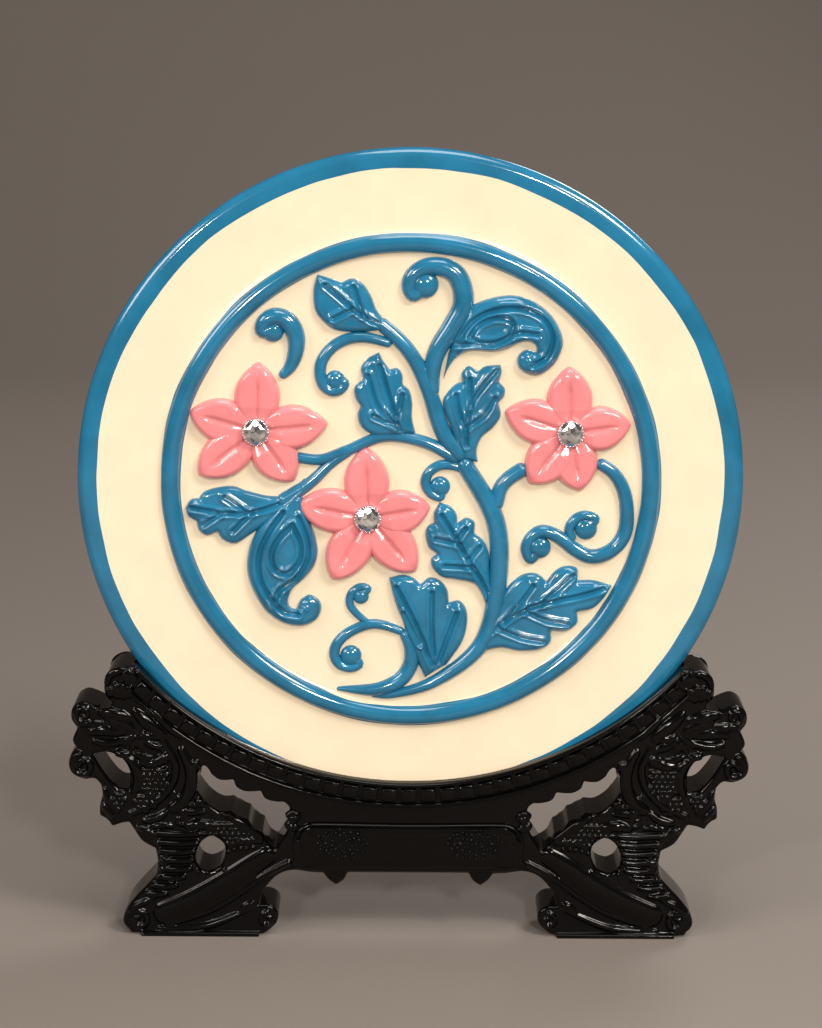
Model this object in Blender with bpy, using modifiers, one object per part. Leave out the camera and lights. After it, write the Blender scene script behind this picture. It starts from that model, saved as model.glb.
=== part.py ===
"""A cast display plate with raised flowers and scrolls, standing in a moulded stand with two dragon ends.

The object faces -Y and stands on z = 0, with its middle at x = y = 0.
"""

import math

import bmesh
import bpy
from mathutils import Matrix, Vector

MM = 0.001
WELD = 0.001 * MM

# Plate
PLATE_RADIUS = 126 * MM
RIM_WIDTH = 7.7 * MM
RIM_BACK = 3 * MM
RIM_FRONT = 3.8 * MM
RING_RADIUS = 90.8 * MM
RING_HALF_WIDTH = 3.6 * MM
RING_HEIGHT = 3.2 * MM
GROUND_LEVEL = 1.5 * MM
MARLY_INNER_LEVEL = 2 * MM
PLATE_LEAN = math.radians(2)
PLATE_SETBACK = 2 * MM
PLATE_STEPS = 48

# Carving on the medallion, drawn on a grid whose unit is this share of the medallion's radius
DRAWN_MEDALLION = 87.2
MEDALLION_RADIUS = RING_RADIUS - RING_HALF_WIDTH
GRID = MEDALLION_RADIUS / DRAWN_MEDALLION
VINE_RISE = 1.0
PETAL_HALF_WIDTH = 7.9
PETAL_RISE = 0.52
PETAL_PIECES = 4
LEAF_RISE = 0.32
LEAF_PIECES_A_LOBE = 4

# Crystals
CRYSTAL_RADIUS = 5 * MM
CRYSTAL_HEIGHT = 2.6 * MM
CRYSTAL_TABLE = 0.6
CRYSTAL_SIDES = 8
SEAT_MARGIN = 0.5 * MM
SEAT_HEIGHT = 4.4 * MM

# Stand
STAND_HEIGHT = 109 * MM
CORE_DEPTH = 20 * MM
RELIEF = 2 * MM
SLOT_FLOOR = 52.8 * MM
SLOT_DEPTH = 10.2 * MM
SLOT_PLAY = 1.2 * MM
FIT_GAP = 0.3 * MM
LEDGE_OVER_PLATE = 1.111
SEAT_OVER_PLATE = 1.01
TOP_RIM = 1.8 * MM
LEDGE_LIP = 0.4 * MM
BLOCK_HEIGHT = 5.4 * MM
BLOCK_PITCH = 7.5 * MM
BLOCK_GAP = 1.6 * MM
BEAD_HEIGHT = 2.2 * MM
COVE_HEIGHT = 7 * MM
PANEL_HALF_WIDTH = 43 * MM
PANEL_BOTTOM = 27 * MM
PANEL_RAISE = 1.2 * MM
RAIL_HEIGHT = 1.8 * MM
FOOT_HEIGHT = 4.5 * MM

# The stand's free forms are drawn on a grid of 109 units over its height
DRAWN_STAND = 109
UNIT = STAND_HEIGHT / DRAWN_STAND
SOLE_INNER = 56
SOLE_OUTER = 106

PLATE_DEPTH = RIM_FRONT + RIM_BACK
PLATE_CENTER = SLOT_FLOOR + FIT_GAP + PLATE_RADIUS * math.cos(PLATE_LEAN)
LEDGE_TOP = SLOT_FLOOR + SLOT_DEPTH
LEDGE_RADIUS = PLATE_RADIUS * LEDGE_OVER_PLATE
LEDGE_CENTER = LEDGE_TOP + LEDGE_RADIUS

PLATE_FRAME = Matrix.Translation((0, PLATE_SETBACK, PLATE_CENTER)) @ Matrix.Rotation(
    math.pi / 2 - PLATE_LEAN, 4, "X"
)
FRONT_FRAME = Matrix.Translation((0, -CORE_DEPTH / 2, 0)) @ Matrix.Rotation(math.pi / 2, 4, "X")
BACK_FRAME = Matrix.Scale(-1, 4, (0, 1, 0)) @ FRONT_FRAME

# Each petal is (direction in degrees, length), and each flower has five
FLOWERS = {
    "left": ((-58, 20), ((88, 26), (6, 27), (-54, 24), (-142, 28), (164, 26))),
    "center": ((-16, -13), ((92, 27), (10, 24), (-49, 28), (-119, 28), (169, 27))),
    "right": ((60, 20), ((92, 25), (8, 23), (-80, 23), (-128, 25), (162, 26))),
}

# Each vine is (points, curl, half-widths at its start, middle and end); a curl is (eye, degrees turned)
VINES = (
    (((-49, 40), (-43, 50), (-44, 58)), ((-50.5, 58.5), 330), (2.0, 3.2, 2.3)),
    (((-7, 53), (-20, 55.5), (-31, 50)), ((-29, 41.5), 300), (1.8, 2.2, 1.7)),
    (((-44, 10), (-34, 9), (-24, 12.5), (-10, 18), (5, 16), (19, 9)), None, (2.2, 2.3, 2.6)),
    (((-30, 8), (-38, -1), (-48, -7)), None, (1.9, 2.1, 2.2)),
    (((-11, 61), (0, 50), (7, 35), (12, 20), (20, 9)), None, (3.0, 3.3, 3.2)),
    (((8, 33), (9, 48), (18, 65), (16.5, 78)), ((6.5, 75.5), 300), (2.6, 3.8, 2.4)),
    (((-2, -58), (-14, -55), (-26, -60)), ((-22.5, -66), 290), (1.6, 2.0, 1.7)),
    (((-12, -57), (-20, -51), (-22.5, -45)), ((-18.5, -44), -240), (1.2, 1.5, 1.4)),
    (((-2, -57), (1, -68), (-5, -79), (-16, -80)), None, (2.0, 2.6, 1.6)),
    (
        ((-27, -80.5), (-8, -82.5), (10, -77), (27, -63), (33, -42), (32.5, -15), (19, 10)),
        None,
        (1.2, 3.0, 3.2),
    ),
    (((25, 1), (17, 7), (8, 5)), ((11.5, 0), 300), (1.5, 1.8, 1.4)),
    (((32, -10), (35, 0), (44, 7)), None, (2.8, 2.9, 3.0)),
    (
        ((70, 9), (79.5, -2), (80, -19), (69, -27.5), (58, -22), (50, -18.5)),
        ((49.5, -25), 260),
        (2.2, 2.8, 1.7),
    ),
    (((62, -22), (60.5, -16), (65, -12.5)), ((67, -17), -260), (1.7, 1.9, 2.0)),
)

# Each leaf is (points of its midrib from stem to tip, half-width, lobes on a side)
LEAVES = (
    (((-9, 60), (-20, 67), (-35, 77)), 9, 2),
    (((1, 18), (-7, 33), (-14, 50)), 10, 3),
    (((22, 8), (23, 28), (33, 46)), 9.5, 3),
    (((-40, 0), (-60, -11), (-85, -10)), 9, 4),
    (((30, -47), (20, -27), (9, -7)), 9.5, 3),
    (((28, -60), (50, -47), (77, -39)), 14, 3),
    (((14, -76), (10, -55), (-8, -36)), 12, 3),
)

# Each paisley is (points of its middle line, curl, half-widths at its root, belly and end)
PAISLEYS = (
    (((12, 40), (22, 55), (36, 61), (50, 59)), ((47, 50.5), -250), (4.0, 10.0, 3.4)),
    (((-44, -6), (-49, -24), (-54, -42), (-47, -52)), ((-40.5, -48.5), 230), (3.5, 13.0, 3.6)),
)

# Right half of the stand's outline, from the panel's lower edge out round the foot and head to the knob
FOOT_AND_HEAD = (
    (22, 26), (28, 21), (34, 26), (45, 26.5), (52, 24), (56, 19), (58, 12.5), (51, 11), (50.5, 7),
    (53, 2.5), (SOLE_INNER + 1, 0.5), (SOLE_OUTER - 1, 0.5), (110, 2.5), (111, 7), (107, 14), (101, 21),
    (97.5, 27), (98, 36), (104, 40), (108, 46), (114.5, 44.5), (119, 49), (118.5, 62), (122, 66),
    (128, 76), (129, 80), (126, 85), (124, 91), (118, 93), (114, 93), (112.5, 97),
)
SIDE_OPENING = (
    (79, 69), (76, 66), (73, 64), (68, 64), (64, 59.5), (57, 59), (54, 55.5), (48, 54.5), (46, 50),
    (47, 43), (52, 35.5), (55, 40), (60, 45.5), (66, 50), (75, 52), (79, 55), (82, 60),
)
HAUNCH_OPENING = ((76, 41), (71.5, 37.5), (71.5, 31), (75, 27), (81, 27.5), (82.5, 33), (80, 38))
MOUTH_OPENING = ((121, 73.5), (113, 73), (107.5, 67), (108, 60.5), (112, 61), (119, 69))
OPENINGS = (SIDE_OPENING, HAUNCH_OPENING, MOUTH_OPENING)
LEDGE_REACH = 104
LEDGE_PIECES = 9
PAST_MIDDLE = 1.3 * MM

# Scrolls of the stand, each (middle, radius), cut as stepped discs
SCROLLS = (
    ((125, 69.5), 6.2),
    ((124.5, 90.5), 4.6),
    ((109, 102), 7.0),
    ((104.5, 6), 5.2),
    ((88, 47.5), 3.4),
)

SCROLL_SIDES = 8
# Steps of a scroll, each (share of its radius, share of the relief)
FINE_SCROLL_STEPS = ((1, 0.5), (0.55, 0.97))
PLAIN_SCROLL_STEPS = ((1, 0.95),)

# Carved strokes of the stand, each (points, half-widths at its start, middle and end)
STROKES = (
    (((118, 91), (112, 90), (106, 88)), (1.0, 2.2, 0.8)),
    (((117, 88.5), (110, 87), (104, 82)), (1.2, 2.4, 0.8)),
    (((105, 92), (99, 86), (93, 81)), (0.9, 2.0, 0.6)),
    (((122, 83), (114, 83.5), (107, 83)), (1.0, 2.0, 0.9)),
    (((121, 79.5), (114, 79), (108, 81)), (0.8, 1.6, 0.8)),
    (((121, 77), (113, 75.5), (107, 73.5)), (1.0, 1.6, 1.0)),
    (((103, 82), (102, 77), (101, 73.5)), (0.7, 1.5, 0.6)),
    (((102, 82), (96, 79), (91, 78)), (0.8, 1.6, 0.6)),
    (((106, 73.5), (98, 72), (92, 75)), (0.9, 1.8, 1.2)),
    (((115, 73.5), (108, 73), (104.5, 66), (107, 57)), (0.8, 1.7, 0.9)),
    (((94, 82), (90.5, 73), (90, 64), (97, 54), (109, 49)), (1.0, 1.5, 1.1)),
    (((89, 78), (84.5, 66), (86, 58), (93, 51)), (1.2, 2.4, 1.8)),
    (((81.5, 57), (76, 50.5), (67, 48), (59, 42.5), (52, 34.5)), (1.0, 1.5, 1.2)),
    (((117, 61), (114.5, 54), (112, 48)), (0.9, 1.6, 1.2)),
    (((47, 37), (58, 30), (70, 21), (85, 13), (103, 4)), (2.2, 3.2, 2.6)),
    (((86, 44), (81, 45.5), (74, 45)), (1.0, 1.7, 0.9)),
)

# Bars across the belly, each (inner end, outer end, height), and patches of scales, each (middle, reach)
BELLY_BARS = (
    (82, 99.5, 41), (82, 97.5, 37), (84, 97, 32.5), (86, 97, 28), (89, 99.5, 23.5), (94, 102.5, 19),
)
BELLY_BAR_HEIGHT = 2.6
SCALE_PATCHES = (((98, 62), (6, 8.5)), ((69, 42.5), (10.5, 4)))
SCALE_PITCH = 4.8
SCALE_RADIUS = 2.2


def put_in(collection, obj):
    for owner in obj.users_collection:
        owner.objects.unlink(obj)
    collection.objects.link(obj)
    return obj


def smooth(points, steps):
    """A curve through the points, with this many pieces between each two."""
    ends = [2 * points[0] - points[1], *points, 2 * points[-1] - points[-2]]
    curve = []
    for i in range(1, len(ends) - 2):
        before, start, end, after = ends[i - 1 : i + 3]
        for step in range(steps):
            t = step / steps
            curve.append(
                0.5
                * (
                    2 * start
                    + (end - before) * t
                    + (2 * before - 5 * start + 4 * end - after) * t**2
                    + (3 * start - 3 * end + after - before) * t**3
                )
            )
    return [*curve, points[-1]]


def curl_points(start, eye, degrees, pieces, closing=0.45):
    """A spiral from the start round the eye, which closes to this share of its first radius."""
    arm = start - eye
    turned = []
    for i in range(1, pieces + 1):
        share = i / pieces
        turn = Matrix.Rotation(math.radians(degrees) * share, 2)
        turned.append(eye + turn @ arm * (1 - (1 - closing) * share))
    return turned


def route(points, curl, steps=2):
    """The smoothed points of a vine, with its curl."""
    path = smooth([Vector(point) for point in points], steps)
    if curl:
        eye, degrees = curl
        path += curl_points(path[-1], Vector(eye), degrees, max(4, abs(degrees) // 45))
    return path


def widths_along(count, start, middle, end):
    """Half-widths that pass from the start to the middle to the end."""
    widths = []
    for i in range(count):
        t = i / (count - 1)
        widths.append(start * (1 - t) * (1 - 2 * t) + 4 * middle * t * (1 - t) + end * t * (2 * t - 1))
    return widths


def mesh_object(name, curve_object, frame, collection):
    """A mesh of the evaluated curve with its caps welded, carried into the frame."""
    bpy.context.view_layer.update()
    graph = bpy.context.evaluated_depsgraph_get()
    mesh = bpy.data.meshes.new_from_object(curve_object.evaluated_get(graph))
    mesh.name = name
    made = bmesh.new()
    made.from_mesh(mesh)
    bmesh.ops.remove_doubles(made, verts=made.verts, dist=WELD)
    bmesh.ops.transform(made, matrix=frame, verts=made.verts)
    bmesh.ops.recalc_face_normals(made, faces=made.faces)
    made.to_mesh(mesh)
    made.free()
    bpy.data.objects.remove(curve_object)
    return put_in(collection, new_object(name, mesh))


def new_object(name, mesh):
    obj = bpy.data.objects.new(name, mesh)
    bpy.context.scene.collection.objects.link(obj)
    return obj


def section(name, outline):
    """A closed cross-section for swept carving, in widths across and height up."""
    curve = bpy.data.curves.new(name, "CURVE")
    curve.dimensions = "2D"
    spline = curve.splines.new("POLY")
    spline.points.add(len(outline) - 1)
    for point, (x, y) in zip(spline.points, outline):
        point.co = (x, y, 0, 1)
    spline.use_cyclic_u = True
    return new_object(name, curve)


def swept(name, path, widths, shape, scale, frame, collection):
    """A carved stroke: the cross-section follows the path and grows and shrinks with the widths."""
    curve = bpy.data.curves.new(name, "CURVE")
    curve.dimensions = "2D"
    curve.bevel_mode = "OBJECT"
    curve.bevel_object = shape
    curve.use_fill_caps = True
    curve.use_radius = True
    spline = curve.splines.new("POLY")
    spline.points.add(len(path) - 1)
    for point, place, width in zip(spline.points, path, widths):
        point.co = (place.x * scale, place.y * scale, 0, 1)
        point.radius = width * scale
    return mesh_object(name, new_object(name, curve), frame, collection)


def solid_from_outlines(name, outlines, depth, frame, collection):
    """A flat plate of this depth with its middle on the frame's plane; outlines after the first are holes."""
    curve = bpy.data.curves.new(name, "CURVE")
    curve.dimensions = "2D"
    curve.fill_mode = "BOTH"
    curve.extrude = depth / 2
    for outline in outlines:
        spline = curve.splines.new("POLY")
        spline.points.add(len(outline) - 1)
        for point, (x, y) in zip(spline.points, outline):
            point.co = (x, y, 0, 1)
        spline.use_cyclic_u = True
    return mesh_object(name, new_object(name, curve), frame, collection)


def cylinder(name, radius, depth, sides, matrix, collection, top_share=1.0):
    mesh = bpy.data.meshes.new(name)
    made = bmesh.new()
    bmesh.ops.create_cone(
        made,
        cap_ends=True,
        segments=sides,
        radius1=radius,
        radius2=radius * top_share,
        depth=depth,
        matrix=matrix,
    )
    bmesh.ops.recalc_face_normals(made, faces=made.faces)
    made.to_mesh(mesh)
    made.free()
    return put_in(collection, new_object(name, mesh))


def joined(name, places, collection, make):
    """One mesh of a small solid made at each place."""
    mesh = bpy.data.meshes.new(name)
    made = bmesh.new()
    for place in places:
        make(made, place)
    bmesh.ops.recalc_face_normals(made, faces=made.faces)
    made.to_mesh(mesh)
    made.free()
    return put_in(collection, new_object(name, mesh))


def boxes(name, size, places, collection):
    def make(made, place):
        bmesh.ops.create_cube(made, size=1, matrix=place @ Matrix.Diagonal((*size, 1)))

    return joined(name, places, collection, make)


def studs(name, radius, places, collection):
    """Low round bumps, sunk a little in the face."""

    def make(made, place):
        bmesh.ops.create_cone(
            made, cap_ends=True, segments=4, radius1=radius, radius2=radius * 0.4, depth=radius * 0.7, matrix=place
        )

    return joined(name, places, collection, make)


def material(name, color, roughness, metallic=0.0):
    made = bpy.data.materials.new(name)
    made.use_nodes = True
    shader = made.node_tree.nodes["Principled BSDF"]
    shader.inputs["Base Color"].default_value = (*color, 1)
    shader.inputs["Roughness"].default_value = roughness
    shader.inputs["Metallic"].default_value = metallic
    made.diffuse_color = (*color, 1)
    return made


def boolean(target, name, operation, operand):
    modifier = target.modifiers.new(name, "BOOLEAN")
    modifier.operation = operation
    modifier.solver = "EXACT"
    if isinstance(operand, bpy.types.Collection):
        modifier.operand_type = "COLLECTION"
        modifier.collection = operand
    else:
        modifier.object = operand


def plate_profile():
    """The plate's section from its middle, over the front, round the rim and back along the underside."""
    paint_edge = PLATE_RADIUS - RIM_WIDTH
    ring = []
    for degrees in (180, 120, 60, 0):
        angle = math.radians(degrees)
        ring.append(
            (RING_RADIUS + RING_HALF_WIDTH * math.cos(angle), MARLY_INNER_LEVEL + RING_HEIGHT * math.sin(angle))
        )
    ring[0] = (ring[0][0], GROUND_LEVEL)
    return [
        (0, GROUND_LEVEL),
        *ring,
        (paint_edge, RIM_FRONT * 0.8),
        (paint_edge + RIM_WIDTH * 0.45, RIM_FRONT),
        (paint_edge + RIM_WIDTH * 0.85, RIM_FRONT * 0.6),
        (PLATE_RADIUS, 0),
        (PLATE_RADIUS - RIM_WIDTH * 0.3, -RIM_BACK),
        (0, -RIM_BACK),
    ]


def plate_disc(name, collection):
    profile = plate_profile()
    mesh = bpy.data.meshes.new(name)
    mesh.from_pydata(
        [(radius, 0, level) for radius, level in profile],
        [(i, i + 1) for i in range(len(profile) - 1)],
        [],
    )
    disc = put_in(collection, new_object(name, mesh))
    disc.matrix_world = PLATE_FRAME
    screw = disc.modifiers.new("Turn", "SCREW")
    screw.axis = "Z"
    screw.steps = PLATE_STEPS
    screw.render_steps = PLATE_STEPS
    screw.use_merge_vertices = True
    screw.merge_threshold = 0.00001
    return disc


def lobed_widths(count, half_width, lobes):
    """Half-widths of a leaf: full near its middle, with the given number of lobes on each side."""
    widths = []
    for i in range(count):
        t = i / (count - 1)
        body = max(0.18, math.sin(math.pi * (0.12 + 0.88 * t)) ** 0.6)
        widths.append(half_width * body * (0.82 + 0.18 * math.cos(2 * math.pi * lobes * (t - 0.55))))
    widths[-1] = half_width * 0.16
    return widths


def petal_widths(count, half_width):
    """Half-widths of a petal: narrow at the flower's heart, widest past its middle, and pointed."""
    widths = []
    for i in range(count):
        t = i / (count - 1)
        widths.append(half_width * max(0.12, math.sin(math.pi * min(1, 0.1 + 0.9 * t) ** 1.15) ** 0.75))
    return widths


def raised_outline(rise, shoulder, middle):
    """A cross-section one wide on each side, with its shoulders and middle at these shares of its rise."""
    points = [(1, -0.15), (0.6, shoulder * rise), (0, middle * rise), (-0.6, shoulder * rise), (-1, -0.15)]
    return [*points, (0, -0.6 * rise)]


def carve_plate(ornament, guides):
    ground = PLATE_FRAME @ Matrix.Translation((0, 0, GROUND_LEVEL))
    round_section = section("round_section", raised_outline(VINE_RISE, 0.8, 1))
    petal_section = section("petal_section", raised_outline(PETAL_RISE, 0.85, 0.55))
    leaf_section = section("leaf_section", raised_outline(LEAF_RISE, 0.9, 0.6))
    for number, (points, half_width, lobes) in enumerate(LEAVES):
        path = smooth([Vector(point) for point in points], LEAF_PIECES_A_LOBE * lobes // 2)
        widths = lobed_widths(len(path), half_width, lobes)
        swept(f"leaf_{number}", path, widths, leaf_section, GRID, ground, ornament)
    for number, (points, curl, widths) in enumerate(PAISLEYS):
        path = route(points, curl)
        swept(
            f"paisley_{number}", path, widths_along(len(path), *widths), leaf_section, GRID, ground, ornament
        )
    for number, (points, curl, widths) in enumerate(VINES):
        path = route(points, curl)
        swept(f"vine_{number}", path, widths_along(len(path), *widths), round_section, GRID, ground, ornament)
    for name, (middle, petals) in FLOWERS.items():
        heart = Vector(middle)
        for number, (degrees, length) in enumerate(petals):
            reach = Vector((math.cos(math.radians(degrees)), math.sin(math.radians(degrees))))
            path = [heart + reach * length * (0.15 + 0.85 * i / PETAL_PIECES) for i in range(PETAL_PIECES + 1)]
            widths = petal_widths(len(path), PETAL_HALF_WIDTH)
            swept(f"petal_{name}_{number}", path, widths, petal_section, GRID, ground, ornament)
        place = Matrix.Translation((heart.x * GRID, heart.y * GRID, SEAT_HEIGHT / 2))
        cylinder(
            f"seat_{name}", CRYSTAL_RADIUS + SEAT_MARGIN, SEAT_HEIGHT * 1.1, 12,
            ground @ place @ Matrix.Translation((0, 0, -SEAT_HEIGHT * 0.05)), ornament,
        )
    for guide in (round_section, petal_section, leaf_section):
        hide_helper(guide, guides)


def hide_helper(obj, collection):
    put_in(collection, obj)
    obj.hide_render = True
    obj.display_type = "WIRE"


def crystal(name, middle, collection):
    """A faceted stone: a short girdle under a cut crown with a flat table."""
    level = GROUND_LEVEL + SEAT_HEIGHT + FIT_GAP
    place = PLATE_FRAME @ Matrix.Translation((middle[0] * GRID, middle[1] * GRID, level + CRYSTAL_HEIGHT / 2))
    stone = cylinder(name, CRYSTAL_RADIUS, CRYSTAL_HEIGHT, CRYSTAL_SIDES, place, collection, CRYSTAL_TABLE)
    bevel = stone.modifiers.new("Facets", "BEVEL")
    bevel.width = CRYSTAL_HEIGHT * 0.25
    bevel.segments = 1
    bevel.limit_method = "ANGLE"
    bevel.angle_limit = math.radians(50)
    return stone


def ledge_arc(inset):
    """A line that follows the ledge's top edge from its outer end to just past the middle."""
    radius = LEDGE_RADIUS + inset
    spread = math.asin(LEDGE_REACH * UNIT / LEDGE_RADIUS)
    past = PAST_MIDDLE / LEDGE_RADIUS
    angles = [spread - (spread + past) * i / LEDGE_PIECES for i in range(LEDGE_PIECES + 1)]
    return [(radius * math.sin(a), LEDGE_CENTER - radius * math.cos(a)) for a in angles]


def stand_outlines():
    """The right half's outline, with its openings after it."""
    half = [(-PAST_MIDDLE, FOOT_AND_HEAD[0][1] * UNIT), *((x * UNIT, z * UNIT) for x, z in FOOT_AND_HEAD)]
    openings = [[(x * UNIT, z * UNIT) for x, z in hole] for hole in OPENINGS]
    return [half + ledge_arc(0), *openings]


def carve_ledge(ornament, frame, fine):
    """The ledge's top rim and, on the fine face, the bead with the row of blocks over it."""
    rim = ledge_arc(-LEDGE_LIP) + ledge_arc(TOP_RIM)[::-1]
    solid_from_outlines("top_rim", [rim], RELIEF * 2, frame, ornament)
    if not fine:
        return
    below = TOP_RIM + BLOCK_HEIGHT + BLOCK_GAP / 2
    bead = ledge_arc(below) + ledge_arc(below + BEAD_HEIGHT)[::-1]
    solid_from_outlines("bead", [bead], RELIEF * 1.5, frame, ornament)
    middle = LEDGE_RADIUS + TOP_RIM + BLOCK_HEIGHT / 2
    count = int(math.asin(LEDGE_REACH * UNIT / LEDGE_RADIUS) * middle / BLOCK_PITCH)
    size = (BLOCK_PITCH - BLOCK_GAP, BLOCK_HEIGHT - BLOCK_GAP / 2, RELIEF * 1.4)
    places = []
    for i in range(count + 1):
        angle = i * BLOCK_PITCH / middle
        place = Matrix.Translation((middle * math.sin(angle), LEDGE_CENTER - middle * math.cos(angle), 0))
        places.append(frame @ place @ Matrix.Rotation(angle, 4, "Z"))
    boxes("blocks", size, places, ornament)


def carve_panel(ornament, frame):
    """The raised panel in the middle, with a rail along its top."""
    top = LEDGE_TOP - TOP_RIM - BLOCK_HEIGHT - COVE_HEIGHT - BEAD_HEIGHT
    height = top - PANEL_BOTTOM
    middle = Matrix.Translation((0, PANEL_BOTTOM + height / 2, 0))
    boxes("panel", (PANEL_HALF_WIDTH * 2, height, PANEL_RAISE * 2), [frame @ middle], ornament)
    rail = Matrix.Translation((0, top, 0))
    boxes("panel_rail", (PANEL_HALF_WIDTH * 1.75, RAIL_HEIGHT, RELIEF * 1.8), [frame @ rail], ornament)


def carve_end(ornament, frame, fine):
    """A dragon's scrolls and strokes; the fine face has its belly bars and scales too, the other the long strokes."""
    stroke_section = section("stroke_section", [(1, -0.2), (0.5, 0.6), (-0.5, 0.6), (-1, -0.2), (0, -0.9)])
    for number, (middle, radius) in enumerate(SCROLLS):
        for share, rise in FINE_SCROLL_STEPS if fine else PLAIN_SCROLL_STEPS:
            depth = RELIEF * rise + CORE_DEPTH / 4
            place = Matrix.Translation((middle[0] * UNIT, middle[1] * UNIT, RELIEF * rise - depth / 2))
            cylinder(f"scroll_{number}_{share}", radius * UNIT * share, depth, SCROLL_SIDES, frame @ place, ornament)
    for number, (points, widths) in enumerate(STROKES):
        if fine or len(points) > 4:
            path = smooth([Vector(point) for point in points], len(points) // 2)
            swept(
                f"stroke_{number}", path, widths_along(len(path), *widths), stroke_section,
                UNIT, frame, ornament,
            )
    if fine:
        for number, (inner, outer, height) in enumerate(BELLY_BARS):
            middle = Matrix.Translation(((inner + outer) / 2 * UNIT, height * UNIT, 0))
            size = ((outer - inner) * UNIT, BELLY_BAR_HEIGHT * UNIT, RELIEF * 1.5)
            boxes(f"belly_{number}", size, [frame @ middle], ornament)
        for number, patch in enumerate(SCALE_PATCHES):
            studs(f"scales_{number}", SCALE_RADIUS * UNIT, scale_places(frame, *patch), ornament)
    bpy.data.objects.remove(stroke_section)


def scale_places(frame, middle, reach):
    """Places of the scales inside an ellipse, in staggered rows."""
    places = []
    rows = int(reach[1] / SCALE_PITCH)
    columns = int(reach[0] / SCALE_PITCH) + 1
    for row in range(-rows, rows + 1):
        for column in range(-columns, columns + 1):
            across = (column + 0.5 * (row % 2)) * SCALE_PITCH
            up = row * SCALE_PITCH
            if math.hypot(across / reach[0], up / reach[1]) <= 1:
                x, z = (middle[0] + across) * UNIT, (middle[1] + up) * UNIT
                places.append(frame @ Matrix.Translation((x, z, SCALE_RADIUS * UNIT * 0.25)))
    return places


def slot_cutter(collection):
    """A disc in the plate's own plane, a little larger than the plate."""
    radius = PLATE_RADIUS * SEAT_OVER_PLATE
    rise = radius - PLATE_RADIUS - FIT_GAP
    place = PLATE_FRAME @ Matrix.Translation((0, rise, (RIM_FRONT - RIM_BACK) / 2))
    cutter = cylinder("slot", radius, PLATE_DEPTH + SLOT_PLAY, PLATE_STEPS, place, collection)
    hide_helper(cutter, collection)
    return cutter


def foot_block(collection):
    """The foot's full-depth sole."""
    width = (SOLE_OUTER - SOLE_INNER) * UNIT
    place = Matrix.Translation(((SOLE_OUTER + SOLE_INNER) / 2 * UNIT, 0, FOOT_HEIGHT / 2))
    return boxes("foot", (width, CORE_DEPTH + RELIEF * 2, FOOT_HEIGHT), [place], collection)


def main():
    for obj in list(bpy.data.objects):
        bpy.data.objects.remove(obj)
    scene = bpy.context.scene.collection
    groups = {}
    for name in ("decorative_wall_plate", "cutters", "plate_ornament", "stand_ornament"):
        groups[name] = bpy.data.collections.new(name)
        scene.children.link(groups[name])
    parts, cutters = groups["decorative_wall_plate"], groups["cutters"]

    carve_plate(groups["plate_ornament"], cutters)
    plate = plate_disc("plate", parts)
    boolean(plate, "Carving", "UNION", groups["plate_ornament"])
    plate.data.materials.append(material("Cream glaze", (0.86, 0.78, 0.6), 0.25))

    glass = material("Crystal", (0.9, 0.92, 0.95), 0.05)
    for name, (middle, _) in FLOWERS.items():
        crystal(f"crystal_{name}", middle, parts).data.materials.append(glass)

    outlines = stand_outlines()
    upright = Matrix.Rotation(math.pi / 2, 4, "X")
    stand = solid_from_outlines("stand", outlines, CORE_DEPTH, upright, parts)
    carvings = groups["stand_ornament"]
    for frame, fine in ((FRONT_FRAME, True), (BACK_FRAME, False)):
        carve_ledge(carvings, frame, fine)
        carve_end(carvings, frame, fine)
    carve_panel(carvings, FRONT_FRAME)
    foot_block(carvings)
    boolean(stand, "Carving", "UNION", carvings)
    boolean(stand, "Slot", "DIFFERENCE", slot_cutter(cutters))
    mirror = stand.modifiers.new("Other half", "MIRROR")
    mirror.use_axis = (True, False, False)
    mirror.use_bisect_axis = (True, False, False)
    mirror.merge_threshold = 0.00001
    stand.data.materials.append(material("Black gloss plastic", (0.012, 0.011, 0.012), 0.18))

    for group in ("plate_ornament", "stand_ornament"):
        for obj in groups[group].objects:
            obj.hide_render = True
            obj.display_type = "WIRE"


main()
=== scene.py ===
"""The looks of a cast display plate and its dragon stand: enamel, glaze, set stones and moulded plastic."""

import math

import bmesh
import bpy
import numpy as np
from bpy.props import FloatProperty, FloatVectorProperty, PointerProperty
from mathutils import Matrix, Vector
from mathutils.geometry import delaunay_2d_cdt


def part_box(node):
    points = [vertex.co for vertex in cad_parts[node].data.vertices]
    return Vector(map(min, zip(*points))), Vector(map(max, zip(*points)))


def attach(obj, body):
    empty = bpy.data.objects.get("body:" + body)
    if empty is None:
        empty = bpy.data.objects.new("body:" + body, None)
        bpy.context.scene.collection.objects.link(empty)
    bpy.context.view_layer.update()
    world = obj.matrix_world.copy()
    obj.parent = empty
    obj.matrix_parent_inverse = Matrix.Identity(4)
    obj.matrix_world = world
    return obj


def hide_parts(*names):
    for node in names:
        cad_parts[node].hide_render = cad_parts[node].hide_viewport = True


bl_info = {
    "name": "Display plate looks",
    "version": (1, 0, 0),
    "blender": (4, 5, 0),
    "location": "View3D > Sidebar > Display Plate",
    "description": "Builds the enamelled plate, its stones and its carved stand around the packed model",
    "category": "Object",
}

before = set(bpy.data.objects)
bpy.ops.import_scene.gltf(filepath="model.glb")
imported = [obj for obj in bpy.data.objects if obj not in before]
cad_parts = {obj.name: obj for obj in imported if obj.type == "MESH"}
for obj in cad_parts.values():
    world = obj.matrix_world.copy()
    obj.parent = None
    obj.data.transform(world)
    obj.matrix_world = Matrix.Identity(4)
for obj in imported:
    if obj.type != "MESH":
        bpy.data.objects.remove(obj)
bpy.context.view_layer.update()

MM = 0.001

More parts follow.
